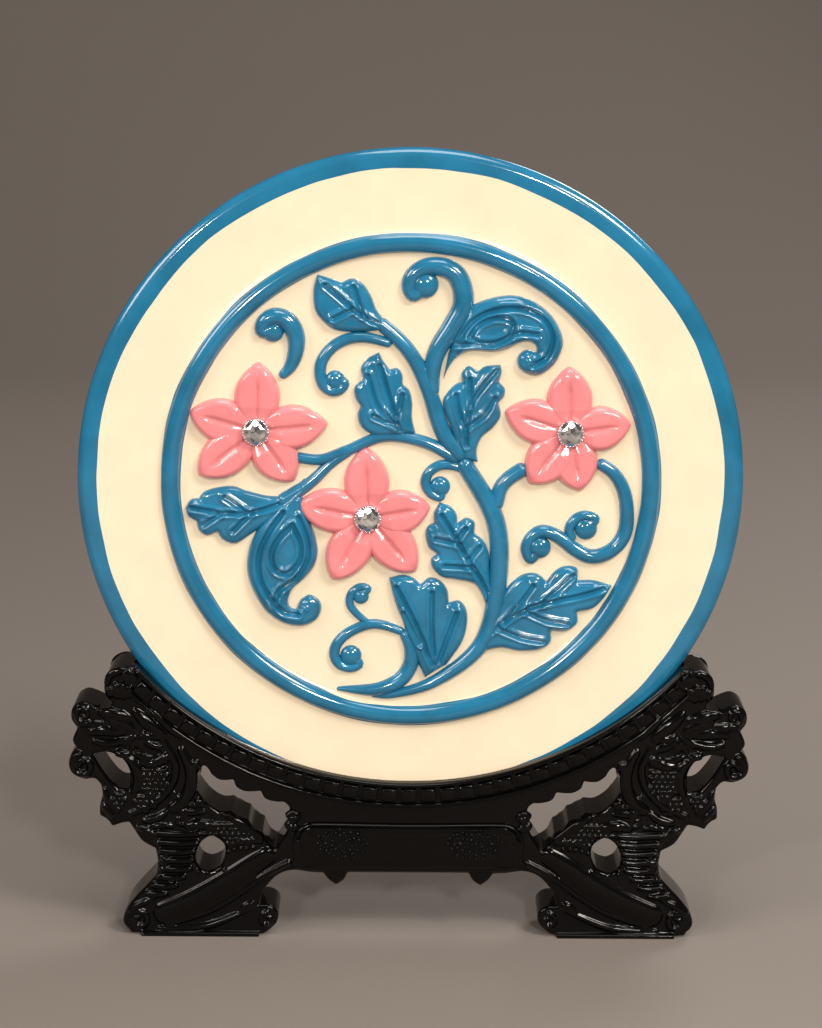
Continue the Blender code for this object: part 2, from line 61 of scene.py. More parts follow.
# The plate's place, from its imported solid
PLATE_LOW, PLATE_HIGH = (Vector(corner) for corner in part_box("plate"))
PLATE_RADIUS = (PLATE_HIGH.x - PLATE_LOW.x) / 2
PLATE_LEAN = math.radians(2)
PLATE_SETBACK = 2 * MM
SLOT_FLOOR = 52.8 * MM
FIT_GAP = 0.3 * MM
PLATE_CENTER = SLOT_FLOOR + FIT_GAP + PLATE_RADIUS * math.cos(PLATE_LEAN)
PLATE_FRAME = Matrix.Translation((0, PLATE_SETBACK, PLATE_CENTER)) @ Matrix.Rotation(
    math.pi / 2 - PLATE_LEAN, 4, "X"
)

# The plate's levels along its own axis, and its bands
RIM_WIDTH = 7.7 * MM
RIM_BACK = 3 * MM
RIM_FRONT = 3.8 * MM
RING_RADIUS = 90.8 * MM
RING_HALF_WIDTH = 3.6 * MM
RING_HEIGHT = 3.2 * MM
GROUND_LEVEL = 1.5 * MM
MARLY_INNER_LEVEL = 2 * MM
GROUND_FRAME = PLATE_FRAME @ Matrix.Translation((0, 0, GROUND_LEVEL))
SEAT_HEIGHT = 4.4 * MM

# The painted bands: how far the brush wanders, its overlap past the ring, and the level where the blue stops
BRUSH_WANDER = 2.6 * MM
BRUSH_OVERLAP = 0.15 * MM
PAINT_BACK_LEVEL = -1.2 * MM

# The medallion's carving is drawn in millimetres for this radius and grows with the medallion
DRAWN_MEDALLION = 87.2
GRID = (RING_RADIUS - RING_HALF_WIDTH) / MM / DRAWN_MEDALLION

# The stand's carving is drawn in millimetres for a stand this high
DRAWN_STAND = 109
STAND_HEIGHT = 109 * MM
UNIT = STAND_HEIGHT / DRAWN_STAND
CORE_DEPTH = 20 * MM
RELIEF = 2 * MM
SLOT_DEPTH = 10.2 * MM
SLOT_PLAY = 1.2 * MM
SEAT_OVER_PLATE = 1.01
LEDGE_OVER_PLATE = 1.111
LEDGE_TOP = SLOT_FLOOR + SLOT_DEPTH
LEDGE_RADIUS = PLATE_RADIUS * LEDGE_OVER_PLATE
LEDGE_CENTER = LEDGE_TOP + LEDGE_RADIUS
LEDGE_REACH = 104
LEDGE_SPREAD = math.asin(LEDGE_REACH * UNIT / LEDGE_RADIUS)
# How far each half reaches past the middle
HALF_OVERLAP = 1.3 * MM
OUTLINE_SPACING = 0.8
# Rails along the ledge: how far under its edge, half-width in millimetres, height as a share of that
LEDGE_RAILS = ((0.7 * MM, 1.0, 1.8), (8.9 * MM, 0.9, 1.4), (7.5 * MM, 0.35, 2.0))
LEDGE_STEPS = 240
# Row of blocks under the ledge's edge
BLOCK_DROP = 4.5 * MM
BLOCK_PITCH = 7.5 * MM
BLOCK_SIZE = (5.7 * MM, 4.9 * MM, 3.0 * MM)
BLOCK_CENTER_OUT = 0.3 * MM
BLOCK_SOFT = 0.45 * MM
# The foot's thin sole, and the softened edge of the slab
FOOT_MIDDLE = 81
FOOT_LENGTH = 46
FOOT_HEIGHT = 1.6 * MM
SLAB_SOFT = 1.3 * MM
FRONT_FRAME = Matrix.Translation((0, -CORE_DEPTH / 2, 0)) @ Matrix.Rotation(math.pi / 2, 4, "X")

# How far a raised form's edge dips under the ground that it stands on
SUNK = 0.5

# Flowers: the heart's place, and each petal's direction in degrees and length
FLOWERS = {
    "left": ((-58, 20), ((88, 26), (6, 27), (-54, 24), (-142, 28), (164, 26))),
    "center": ((-16, -13), ((92, 27), (10, 24), (-49, 28), (-119, 28), (169, 27))),
    "right": ((60, 20), ((92, 25), (8, 23), (-80, 23), (-128, 25), (162, 26))),
}

# Vines: points, ball in the eye of the curl as (place, radius), half-widths at the start, middle and end
VINES = (
    (
        ((-49, 40), (-45, 44.5), (-43, 50.5), (-43.2, 56.5), (-46, 61.3), (-50.5, 63), (-54.3, 61.3),
         (-55.4, 57.8)),
        ((-51.6, 57.6), 4.0), (1.6, 3.5, 2.5),
    ),
    (
        ((-7, 53), (-16, 55.3), (-23, 55), (-29, 52), (-33, 47), (-34, 42), (-32.8, 37.5), (-29.8, 35.2),
         (-26.6, 35.7), (-25, 38.2)),
        ((-28.4, 39.2), 3.6), (1.8, 2.3, 1.9),
    ),
    (((-44, 10), (-34, 9), (-24, 12.5), (-10, 18), (5, 16), (19, 9)), None, (2.1, 2.2, 2.6)),
    (((-22, 13), (-30, 7.5), (-38, 0), (-50, -8)), None, (1.8, 2.3, 3.0)),
    (((-13, 62), (-4, 54), (2, 46), (7, 35), (12, 20), (20, 9)), None, (2.6, 3.0, 3.2)),
    (
        ((8, 33), (8, 43), (10, 51), (15.5, 60), (19, 67), (19, 73.5), (16.5, 79), (11.5, 81.8), (5.5, 81.8),
         (0.8, 79), (-0.9, 74.8), (1, 71.3)),
        ((5.0, 75.2), 4.9), (2.6, 3.9, 2.2),
    ),
    (
        ((-2, -58), (-10, -55.2), (-16, -55), (-23, -58), (-27.3, -62), (-28.8, -66.5), (-27, -70.5),
         (-23, -72), (-19.3, -70.6)),
        ((-22.4, -67.2), 3.9), (1.6, 2.1, 1.7),
    ),
    (
        ((-15, -55), (-20, -51), (-22.8, -47), (-22.2, -42.7), (-19, -40.3), (-16, -41)),
        ((-18.6, -43.9), 2.9), (1.2, 1.6, 1.4),
    ),
    (((-2.5, -57), (0.5, -64), (0.3, -71), (-4, -77), (-13, -80.6), (-28, -80.4)), None, (2.0, 3.0, 0.7)),
    (
        ((-15, -82.6), (-6, -82.4), (10, -77), (27, -63), (33, -42), (32.5, -15), (19, 10)),
        None,
        (1.2, 3.5, 3.2),
    ),
    (
        ((25, 1), (21, 5), (16, 7), (11, 7), (7, 4.3), (5.7, 0), (7.8, -3.8), (11.5, -5)),
        ((11.2, -1.0), 3.7), (1.5, 2.0, 1.6),
    ),
    (((32, -10), (35, 0), (44, 7)), None, (2.8, 2.9, 3.0)),
    (
        ((70, 9), (76.5, 4.5), (80.5, -2), (82, -10), (81.5, -18), (78.5, -23.5), (73.5, -27), (68, -27.7),
         (62.5, -25), (58, -21.5), (53.5, -18.8), (49.3, -18.2), (45.7, -20.8), (44.1, -25), (46, -29)),
        ((49.2, -24.4), 4.1), (2.2, 2.9, 1.8),
    ),
    (((62, -22), (60.3, -17.5), (62.3, -13.6), (66, -12), (70, -13.4)), ((66.6, -17), 4.1), (1.7, 2.0, 1.8)),
)

# Leaves: the lobes' edges in turn, which meet in sharp notches, and the sunk veins, the midrib first
LEAVES = {
    "upper_left": (
        (
            ((-10, 62), (-13, 66), (-15, 71), (-18, 75.5), (-22, 77.5), (-26, 76)),
            ((-26, 76), (-30, 77.5), (-35, 79)),
            ((-35, 79), (-36.5, 73), (-36, 66), (-33, 61.5), (-28, 58), (-19, 57.5), (-11, 58)),
        ),
        (
            ((-12, 60.5), (-20, 65), (-32, 75)),
            ((-18, 64), (-20, 70), (-21.5, 74.5)),
            ((-22, 66), (-29, 62.5)),
        ),
    ),
    "center_left": (
        (
            ((-1, 19), (-8, 18), (-14, 18.5), (-18.5, 21.5), (-20, 26), (-19, 29.5)),
            ((-19, 29.5), (-21, 33), (-21, 37), (-18, 40)),
            ((-18, 40), (-18.8, 44), (-16.5, 47.5), (-12, 50)),
            ((-12, 50), (-10.5, 47), (-8, 43.5)),
            ((-8, 43.5), (-5, 44), (-3.2, 41.5), (-3, 38)),
            ((-3, 38), (-0.5, 35.5), (0.6, 31), (0.6, 25), (2, 19)),
        ),
        (
            ((-4, 21), (-8, 33), (-11.5, 45)),
            ((-5.5, 23), (-12.5, 30), (-16, 41)),
            ((-5, 22), (-14, 26)),
            ((-5, 26), (-3, 34)),
        ),
    ),
    "center_right": (
        (
            ((20, 9), (15.5, 20), (12.5, 28), (12, 32), (14, 35.5), (16.5, 38), (19, 39)),
            ((19, 39), (19, 42.5), (21.5, 45), (25, 43)),
            ((25, 43), (28, 45), (33.5, 45.5)),
            ((33.5, 45.5), (34, 42.5), (33, 39)),
            ((33, 39), (35.2, 36.5), (35, 33.5), (33, 31)),
            ((33, 31), (33.8, 26), (31, 21.5), (27, 18), (25, 13), (25.5, 8)),
        ),
        (
            ((21, 15), (21, 23), (23.5, 32), (27.5, 38), (32, 43.5)),
            ((20.8, 20), (18, 28), (17, 34)),
            ((22.5, 30), (22, 40)),
            ((21.5, 22), (28, 27), (31.5, 33)),
        ),
    ),
    "left": (
        (
            ((-40, 2), (-46, -4), (-53, -5), (-62, -3)),
            ((-62, -3), (-67, -1.3), (-73, -1.8), (-78, -3.5), (-80, -6)),
            ((-80, -6), (-83, -6.5), (-85, -9.5)),
            ((-85, -9.5), (-84, -13), (-81, -15)),
            ((-81, -15), (-80, -18.5), (-77, -20.5), (-73, -19)),
            ((-73, -19), (-71, -22), (-66, -23.5), (-59, -19)),
            ((-59, -19), (-52, -14), (-44, -8), (-38, -2)),
        ),
        (
            ((-83, -9.5), (-70, -11.5), (-60, -11), (-50, -8), (-42, -2)),
            ((-62, -11), (-70, -5.5)),
            ((-60, -11.5), (-67, -18.5)),
            ((-72, -12), (-78, -16)),
        ),
    ),
    "lower_center": (
        (
            ((29, -47), (27, -42), (24, -38.5), (17, -37), (12, -36), (8.5, -32.5), (8, -29), (10, -27)),
            ((10, -27), (7, -24.5), (5.8, -20), (6.5, -16.5), (9, -15)),
            ((9, -15), (9, -11), (11, -7)),
            ((11, -7), (15, -8.5), (17.5, -11.5), (18, -15)),
            ((18, -15), (21, -13), (24.3, -14.5), (24.5, -19)),
            ((24.5, -19), (28, -22), (30, -27), (30.5, -34), (32, -42)),
        ),
        (
            ((12, -12), (17, -20), (21.5, -28), (26.5, -36), (30, -43)),
            ((18, -21), (21, -17)),
            ((22.5, -29), (26.5, -24)),
            ((19, -23), (10, -21)),
            ((24, -32), (13, -31.5)),
        ),
    ),
    "lower_right": (
        (
            ((30, -54), (33.5, -46), (37, -40), (41, -36), (45, -34.3), (49, -34.8), (52, -37.5)),
            ((52, -37.5), (55, -33.5), (59, -31.5), (63.5, -32.3), (64, -37)),
            ((64, -37), (70, -37), (77, -39)),
            ((77, -39), (74, -44), (70, -48), (64, -49.5)),
            ((64, -49.5), (64, -54), (60, -57), (54, -57)),
            ((54, -57), (54, -61.5), (50, -64.3), (42, -65), (35, -63.8), (27, -65.5)),
        ),
        (
            ((29, -58.5), (38, -52), (46, -47.5), (55, -45), (64, -43), (74, -40)),
            ((36, -53), (42, -46), (47, -39)),
            ((50, -46), (57, -40), (62, -35)),
            ((44, -49), (52, -52.5), (60, -54)),
            ((34, -56), (43, -59.5), (51, -61)),
        ),
    ),
    "bottom": (
        (
            ((6, -76), (1.5, -66), (-1, -60), (-2.5, -54), (-5, -48), (-6.5, -43), (-8, -36.5)),
            ((-8, -36.5), (-3, -35.3), (1, -36.3), (4, -38.8)),
            ((4, -38.8), (7.5, -36.3), (11.5, -37.5), (14.3, -41), (15, -46)),
            ((15, -46), (19, -45.3), (21.7, -49), (22, -55), (20, -62), (14, -71)),
        ),
        (
            ((9.5, -72), (3, -56), (-5, -40)),
            ((9.5, -70), (8.5, -55), (8.5, -42)),
            ((10.5, -71), (15, -58), (18, -50)),
            ((4, -62), (-2, -50)),
        ),
    ),
}

# Paisleys: the edge, the sunk lines inside it, and a small ball in its curled end
PAISLEYS = {
    "upper_right": (
        (
            (12, 39), (14, 50), (18, 60), (21, 66.5), (26, 69.3), (32, 71), (38, 71.5), (44, 70), (49, 67),
            (53, 63), (56, 57.5), (56.6, 52.5), (54.5, 47), (51, 43.3), (47, 41.5), (43, 42.3), (40, 45),
            (40, 49), (43, 51.2), (46.5, 50.3), (46.3, 53), (43.5, 54.3), (40, 53.6), (36, 51.5), (31, 50.4),
            (25, 50.8), (20, 50), (16.5, 47.5), (13.5, 43),
        ),
        (
            (
                (17, 54), (22, 61), (28, 65), (36, 66.8), (44, 65.8), (50, 62), (52.8, 55.5), (50.5, 48.5),
                (45.5, 45.5),
            ),
            (
                (22, 56), (24.5, 60), (29, 62.6), (34, 63.2), (37.5, 61.6), (37.5, 58.5), (35, 55.6),
                (30, 54), (25, 54.2), (22, 56),
            ),
            ((15.5, 53), (22, 53.3), (28, 52.5), (34, 54.3), (40, 57.5), (47, 57)),
        ),
        (44, 47),
    ),
    "lower_left": (
        (
            (-45, -4), (-52, -11), (-58, -18), (-61, -25), (-62, -32), (-61, -38), (-58.5, -44), (-55, -49.5),
            (-50, -53.5), (-45, -55.3), (-40, -55.3), (-35.5, -53), (-33.7, -49), (-34.5, -45.5),
            (-38, -43.3), (-41.5, -45), (-43.5, -48.8), (-46, -47.5), (-46, -44.5), (-44, -40.5), (-40, -37),
            (-36.5, -32.5), (-35, -27.5), (-35.5, -22), (-37.5, -16), (-40, -10), (-41, -5),
        ),
        (
            ((-48, -11), (-53.5, -19), (-57, -27), (-57, -36), (-53.5, -43.5), (-48, -49.5), (-42.5, -50.8)),
            (
                (-44.5, -16), (-49.5, -21), (-52.3, -27), (-51.5, -32.5), (-48, -34.8), (-44.5, -33.5),
                (-41.5, -29), (-41.3, -23), (-44.5, -16),
            ),
            ((-42, -13), (-39, -21), (-39, -29), (-43.5, -37), (-49, -41), (-51.5, -46)),
        ),
        (-39.5, -48.5),
    ),
}

# Right half of the stand's outline, in runs that meet in sharp corners
STAND_RUNS = (
    ((-1.3, 26), (23.5, 26)),
    ((23.5, 26), (25, 23), (28, 20.8)),
    ((28, 20.8), (31, 23), (33, 25.8)),
    ((33, 25.8), (38, 26), (45, 26.8), (51, 24.5), (56, 19)),
    ((56, 19), (57.5, 16), (58.5, 12.5)),
    ((58.5, 12.5), (54, 12.3), (50.8, 9.5), (51.2, 5), (55, 1.2), (58, 0.4)),
    ((58, 0.4), (104, 0.4), (108.5, 1.5), (111.2, 5), (110, 10), (106.5, 15), (102, 20), (98.3, 24.5),
     (97.3, 30), (98, 35.5)),
    ((98, 35.5), (103, 38.5), (106, 43), (108, 46.3)),
    ((108, 46.3), (111, 45.8), (114.5, 44.5)),
    ((114.5, 44.5), (116.5, 47.3), (119.3, 49)),
    ((119.3, 49), (119.2, 53), (118.2, 57), (118.5, 61.5)),
    ((118.5, 61.5), (121, 64), (125, 63.8), (129.5, 66), (130.8, 70), (129.7, 74), (127.5, 76.5)),
    ((127.5, 76.5), (129, 79.5), (127, 84.5)),
    ((127, 84.5), (129.2, 88), (128.7, 92.5), (125, 95), (121, 94), (118, 92.5)),
    ((118, 92.5), (114.5, 92.8), (113.5, 95)),
    ((113.5, 95), (115.8, 97.5), (116.4, 101.5), (115, 106), (111.5, 108.8), (107.5, 109.2), (104, 109)),
)
SIDE_OPENING_RUNS = (
    ((82, 60), (81, 66), (79, 69.5), (77, 68), (76, 66)),
    ((76, 66), (73, 63.8), (69.5, 63.6), (67.5, 64)),
    ((67.5, 64), (66.5, 61), (63.5, 59.2), (60, 59), (57, 59.3)),
    ((57, 59.3), (55.5, 56.3), (52, 55), (48, 54.8)),
    ((48, 54.8), (46, 52.5), (46.3, 48), (47, 43), (51.5, 35.6)),
    ((51.5, 35.6), (54.5, 38), (56.5, 42.5)),
    ((56.5, 42.5), (60, 44.5), (62, 47.5)),
    ((62, 47.5), (66, 49), (68.5, 51)),
    ((68.5, 51), (73, 51), (78, 54.5), (82, 60)),
)
HAUNCH_OPENING_RUNS = (
    ((76.5, 41), (74, 39.8), (71.5, 37.5), (71, 33.5), (72.5, 29), (75, 27)),
    ((75, 27), (78, 26.2), (81, 27.5)),
    ((81, 27.5), (82.6, 30.5), (82.3, 34), (80, 38.5), (76.5, 41)),
)
MOUTH_OPENING_RUNS = (
    ((121.5, 74), (116, 74.8), (110.5, 72.5), (107.3, 67), (107.5, 60)),
    ((107.5, 60), (112, 60.5), (116.5, 65.5), (121.5, 74)),
)
OPENINGS = (SIDE_OPENING_RUNS, HAUNCH_OPENING_RUNS, MOUTH_OPENING_RUNS)

# Scrolls: (eye, radius, degrees at which the arm leaves it, turns and their sense)
SCROLLS = (
    ((125, 69.7), 5.8, 100, -1.4),
    ((124.4, 90.3), 4.4, 210, 1.3),
    ((104.8, 6.2), 5.0, 20, 1.3),
    ((88, 47.5), 3.2, 60, 1.3),
    ((54.8, 6.6), 3.8, 120, -1.2),
)

# Carved strokes: points, half-widths at the start, middle and end. One that would leave the face is cut short
STROKES = (
    (((119, 91.5), (112, 90.3), (105.5, 88.5)), (0.8, 2.0, 0.4)),
    (((117, 88), (111, 87.3), (104.5, 83.2)), (1.0, 2.3, 0.5)),
    (((105.5, 92.5), (100, 87), (92.5, 81)), (0.7, 2.0, 0.4)),
    (((101.5, 86.5), (97.5, 84.5), (94, 84)), (0.5, 1.3, 0.3)),
    (((123, 83), (117, 84), (111, 83.6), (106, 83.5)), (0.9, 1.8, 0.6)),
    (((121.5, 80), (116, 78.6), (110, 79.6), (107, 81.6)), (0.7, 1.2, 0.5)),
    (((121.5, 76.8), (115, 75.2), (106.5, 74)), (0.9, 1.4, 0.8)),
    (((104.5, 82.8), (107.5, 80.5), (109.5, 77.5)), (0.5, 0.9, 0.3)),
    (((104, 82.5), (105.5, 78.5), (107, 74.8)), (0.5, 1.1, 0.3)),
    (((103.5, 82.3), (103, 78), (101.5, 74.5)), (0.5, 1.1, 0.3)),
    (((103, 82), (99, 78.5), (92, 76.3)), (0.5, 1.2, 0.4)),
    (((102.5, 82.8), (98, 81.6), (93, 82)), (0.5, 1.3, 0.4)),
    (((106.5, 75), (101, 73), (96, 73)), (0.6, 1.0, 0.5)),
    (((104, 71.5), (98, 70.8), (91.7, 74.5)), (0.9, 1.5, 1.4)),
    (((116, 75), (110.5, 74.5), (105.5, 70.5), (104, 64.5), (106, 57.5)), (0.6, 1.5, 0.8)),
    (((96, 83), (91.7, 75.5), (89.4, 69), (91.5, 61.5), (98, 54.5), (108.5, 49.5)), (0.8, 1.2, 0.9)),
    (((88, 77.5), (84.3, 70), (83.5, 63), (86.5, 56), (92.5, 51.3)), (0.9, 2.0, 1.6)),
    (((82.2, 72.5), (80.7, 66), (82.3, 59.8)), (0.6, 1.2, 0.7)),
    (((82.5, 56), (75.5, 52.6), (68, 50)), (0.7, 1.1, 0.5)),
    (((76, 52.5), (66.5, 47.5), (57, 40.5), (50.5, 33.5)), (0.8, 1.0, 0.7)),
    (((117.5, 61), (115.5, 55.5), (111.5, 50)), (0.5, 1.2, 0.7)),
    (((47, 37.5), (58, 31), (70, 22), (84, 13.6), (99, 7.5)), (2.6, 4.3, 3.6)),
    (((45.5, 31), (56, 25), (66, 17.5), (78, 10), (95, 4)), (0.9, 1.1, 0.8)),
    (((86.5, 44.5), (81, 46), (73.5, 45.3)), (0.8, 1.7, 0.7)),
    (((105.5, 45), (100, 42.5), (96.5, 38)), (0.6, 1.1, 0.6)),
    (((104, 21), (98.5, 23.5), (94.5, 29), (93.5, 36)), (0.6, 1.0, 0.6)),
    (((110, 9), (104, 13), (98, 16)), (0.6, 1.1, 0.5)),
    (((83, 28), (77.8, 30), (74.3, 33.2), (70.1, 36.5), (64.8, 38.9), (56, 39.2)), (0.7, 1.1, 0.7)),
    (((79, 54), (69, 49), (60, 43.5)), (0.5, 1.2, 0.4)),
    (((89.7, 57), (89, 52.6), (85, 50.8), (78, 51.2)), (0.6, 1.1, 0.5)),
    (((90.9, 59.5), (87, 54.8), (81, 53.6), (75, 54.4)), (0.5, 0.9, 0.5)),
    (((115.5, 101.5), (113.9, 106), (109.2, 107.9), (103, 105.6)), (0.8, 1.2, 0.7)),
    (((114.4, 101.8), (113.8, 97)), (0.9, 1.1, 0.7)),
    (((111.9, 103.2), (111.3, 96.4)), (0.9, 1.1, 0.7)),
    (((109.3, 103.4), (108.8, 96)), (0.9, 1.1, 0.7)),
    (((106.7, 102.4), (106.8, 96.8)), (0.9, 1.1, 0.7)),
    (((127, 86), (120.5, 86.6), (114, 86.4)), (0.6, 1.1, 0.5)),
    (((98.5, 93), (93, 86.5), (86.5, 80.5)), (0.6, 1.3, 0.4)),
    (((119, 57.5), (117, 52.5), (113.5, 48)), (0.6, 1.0, 0.6)),
    (((103, 47), (97, 48.5), (92.5, 52)), (0.6, 1.3, 0.6)),
    (((101, 44.5), (94, 45.5), (90.5, 44.5)), (0.5, 1.0, 0.5)),
    (((60, 12), (68, 8), (80, 3.6), (98, 2.6)), (0.6, 1.0, 0.6)),
    (((56.5, 14), (62, 13), (66, 9.5)), (0.5, 1.0, 0.4)),
    (((71, 28), (71.5, 24.5), (76, 21.5), (83, 19.5)), (0.6, 1.1, 0.5)),
)

# Rows of beads along the body, each (points, spacing, radius)
BEAD_ROWS = (
    (((81.5, 26.5), (78, 27.6), (75, 29.8), (72, 33.2), (68, 35.6), (60, 36.6)), 2.3, 0.85),
    (((78, 55.6), (72, 53.6), (66, 49.6), (60, 44)), 2.4, 0.75),
    (((95.5, 78), (93, 72), (93.6, 66)), 2.2, 0.7),
)

# Belly bars: inner end, outer end, height, sag of the middle
BELLY_BARS = (
    (79.5, 99, 42.3, 0.6), (80.5, 98, 38.6, 0.6), (82, 97, 35, 0.6), (82.5, 96.8, 31.4, 0.6),
    (83.5, 96.8, 27.8, 0.6), (86, 98, 24.3, 0.6), (89, 100, 20.8, 0.6), (93, 102.5, 17.5, 0.6),
)
BELLY_BAR_HALF_WIDTH = 1.15

# How much fuller the strokes are made than drawn, and the most that one may rise
STROKE_FULLNESS = 1.22
MOST_STROKE_RISE = 1.9

# Patches of scales: middle, reach across and up
SCALE_PATCHES = (
    ((98.5, 64), (6.2, 6.5)), ((101, 55), (5.0, 4.0)), ((68, 42), (11, 5.2)), ((111.5, 56), (2.6, 5.5)),
)
SCALE_PITCH = 2.15
# Share of its faces that the moulded skin keeps, so that each half stays under 200,000
SKIN_SHARE = 0.44

# Right half of the raised panel, the cloud at its corner, and the moulding over it
PANEL_OUTLINE = (
    ((0, 45.6), (33.5, 45.6)),
    ((33.5, 45.6), (38, 45.4), (41.2, 43.5), (42.4, 40.5)),
    ((42.4, 40.5), (44.5, 39.3), (45, 36.8), (44.2, 33), (45.5, 30), (44.6, 27.8)),
    ((44.6, 27.8), (34, 26.9), (0, 26.9)),
)
CLOUD_OUTLINE = (
    ((41.5, 44.5), (43, 46.8), (41.2, 49), (42.6, 51.6), (45.6, 52.2)),
    ((45.6, 52.2), (47.6, 50.4), (46.6, 48.2)),
    ((46.6, 48.2), (48, 46.2), (46.8, 43.9), (44.2, 43.2), (41.5, 44.5)),
)
PANEL_MOULDING = (
    (-44, 38.5), (-43.2, 42.5), (-39.5, 45.6), (-33, 46.3), (0, 45.9), (33, 46.3), (39.5, 45.6), (43.2, 42.5),
    (44, 38.5),
)
CLOUD_COIL = (44.3, 48.3)
MOULDING_HALF_WIDTH = 0.75
# Patches of cast grains: middle on the right, reach, and how many are enough and the most
GRAIN_PLACE = (25.5, 38.6)
GRAIN_REACH = (10.5, 6.2)
ENOUGH_GRAINS = 90
MOST_GRAINS = 150

# Round forms: steps round the plate and a setting, and beads on a setting's rim
PLATE_STEPS = 256
SETTING_STEPS = 32
SETTING_BEADS = 26

# Lights: name, place, aim, size, power, colour
LIGHTS = (
    ("key", (1.0, -0.9, 1.35), (0, 0, 0.15), 0.45, 22, (1.0, 0.92, 0.82)),
    ("fill", (-1.3, -0.7, 1.0), (0, 0, 0.15), 0.6, 10, (1.0, 0.9, 0.84)),
    ("sparkle", (0.35, -1.3, 0.75), (0, 0, 0.08), 0.14, 9, (1.0, 0.95, 0.88)),
    ("back", (0.7, 1.0, 1.1), (0, 0, 0.15), 0.6, 9, (1.0, 0.96, 0.92)),
    ("glint", (-0.55, -1.2, 0.6), (0, 0, 0.06), 0.09, 5, (1.0, 0.95, 0.88)),
    ("top", (0.1, -0.35, 1.7), (0, 0, 0.1), 0.7, 9, (1.0, 0.96, 0.92)),
)
SKY_COLOR = (0.95, 0.88, 0.82, 1)
SKY_STRENGTH = 0.15

# The camera, from the photograph
CAMERA_PLACE = (0.0003, -0.8927, 0.3851)
CAMERA_PITCH = math.radians(13.71)
CAMERA_ROLL = math.radians(0.33)


class PlateLook(bpy.types.PropertyGroup):
    """Colours of the plate and heights of its carving."""

    cream: FloatVectorProperty(
        name="Cream glaze", description="Ground of the plate", subtype="COLOR", min=0, max=1,
        default=(0.82, 0.70, 0.51),
    )
    blue: FloatVectorProperty(
        name="Blue enamel", description="Rim, ring, vines and leaves", subtype="COLOR", min=0, max=1,
        default=(0.012, 0.145, 0.27),
    )
    pink: FloatVectorProperty(
        name="Pink enamel", description="Petals", subtype="COLOR", min=0, max=1, default=(0.80, 0.235, 0.25),
    )
    vine_rise: FloatProperty(
        name="Vine height", description="Height of a vine as a share of its half-width", default=1.05,
    )
    leaf_rise: FloatProperty(
        name="Leaf height", description="Height of the leaves over the ground", default=2.7 * MM,
        unit="LENGTH",
    )
    petal_rise: FloatProperty(
        name="Petal height", description="Height of the petals over the ground", default=3.7 * MM,
        unit="LENGTH",
    )
    petal_half_width: FloatProperty(
        name="Petal half-width", description="Half the width of a petal", default=8.6 * MM, unit="LENGTH",
    )


class StoneLook(bpy.types.PropertyGroup):
    """Sizes of the set stones."""

    radius: FloatProperty(
        name="Radius", description="Half the stone's width", default=4.7 * MM, unit="LENGTH",
    )
    height: FloatProperty(name="Height", description="Girdle to table", default=2.5 * MM, unit="LENGTH")


class StandLook(bpy.types.PropertyGroup):
    """Colour and carving of the stand."""

    black: FloatVectorProperty(
        name="Black plastic", description="The stand's colour", subtype="COLOR", min=0, max=1,
        default=(0.0016, 0.0013, 0.0013),
    )
    grain: FloatProperty(
        name="Carving grain", description="Size of the smallest carved form", default=0.42 * MM,
        unit="LENGTH",
    )


class StageLook(bpy.types.PropertyGroup):
    """Floor and camera."""

    floor: FloatVectorProperty(
        name="Floor", description="Colour of the floor and backdrop", subtype="COLOR", min=0, max=1,
        default=(0.19, 0.165, 0.147),
    )
    lens: FloatProperty(name="Lens", description="Focal length in millimetres", default=85.0)


def smooth_line(points, spacing):
    """Points along a smooth curve through the given ones, about this far apart."""
    pts = np.array(points, float)
    if len(pts) == 2:
        count = max(2, int(np.linalg.norm(pts[1] - pts[0]) / spacing) + 1)
        return pts[0] + (pts[1] - pts[0]) * np.linspace(0, 1, count)[:, None]
    ends = np.vstack([2 * pts[0] - pts[1], pts, 2 * pts[-1] - pts[-2]])
    dense = []
    for i in range(1, len(ends) - 2):
        before, start, end, after = ends[i - 1 : i + 3]
        t = np.linspace(0, 1, 24, endpoint=False)[:, None]
        dense.append(
            0.5 * (
                2 * start + (end - before) * t + (2 * before - 5 * start + 4 * end - after) * t**2
                + (3 * start - 3 * end + after - before) * t**3
            )
        )
    dense = np.vstack([*dense, pts[-1:]])
    return even(dense, spacing)


def even(line, spacing):
    """The same line with its points this far apart."""
    run = np.concatenate([[0], np.cumsum(np.linalg.norm(np.diff(line, axis=0), axis=1))])
    count = max(3, int(run[-1] / spacing) + 1)
    at = np.linspace(0, run[-1], count)
    return np.column_stack([np.interp(at, run, line[:, k]) for k in range(line.shape[1])])


def spiral(start, eye, degrees, closing, spacing):
    """Points from the start round the eye, closing to a share of the first radius."""
    arm = np.array(start) - np.array(eye)
    reach = np.hypot(*arm)
    count = max(8, int(abs(math.radians(degrees)) * reach * (1 + closing) / 2 / spacing))
    share = np.linspace(0, 1, count + 1)[1:]
    angle = math.atan2(arm[1], arm[0]) + np.radians(degrees) * share
    radius = reach * (1 - (1 - closing) * share)
    return np.array(eye) + np.column_stack([np.cos(angle), np.sin(angle)]) * radius[:, None]


def passing(count, start, middle, end):
    """Values that pass from the start to the middle to the end."""
    t = np.linspace(0, 1, count)
    return start * (1 - t) * (1 - 2 * t) + 4 * middle * t * (1 - t) + end * t * (2 * t - 1)


def dome(share):
    """A round shoulder: 0 at the edge, 1 from a full share inwards."""
    inner = 1 - np.clip(share, 0, 1)
    return np.sqrt(np.clip(1 - inner**2, 0, 1))


def add_object(name, data, place=None):
    obj = bpy.data.objects.new(name, data)
    bpy.context.scene.collection.objects.link(obj)
    if place is not None:
        obj.matrix_world = place
    return obj


def finished_mesh(name, made):
    """The mesh of a bmesh, which is freed."""
    mesh = bpy.data.meshes.new(name)
    made.to_mesh(mesh)
    made.free()
    return mesh


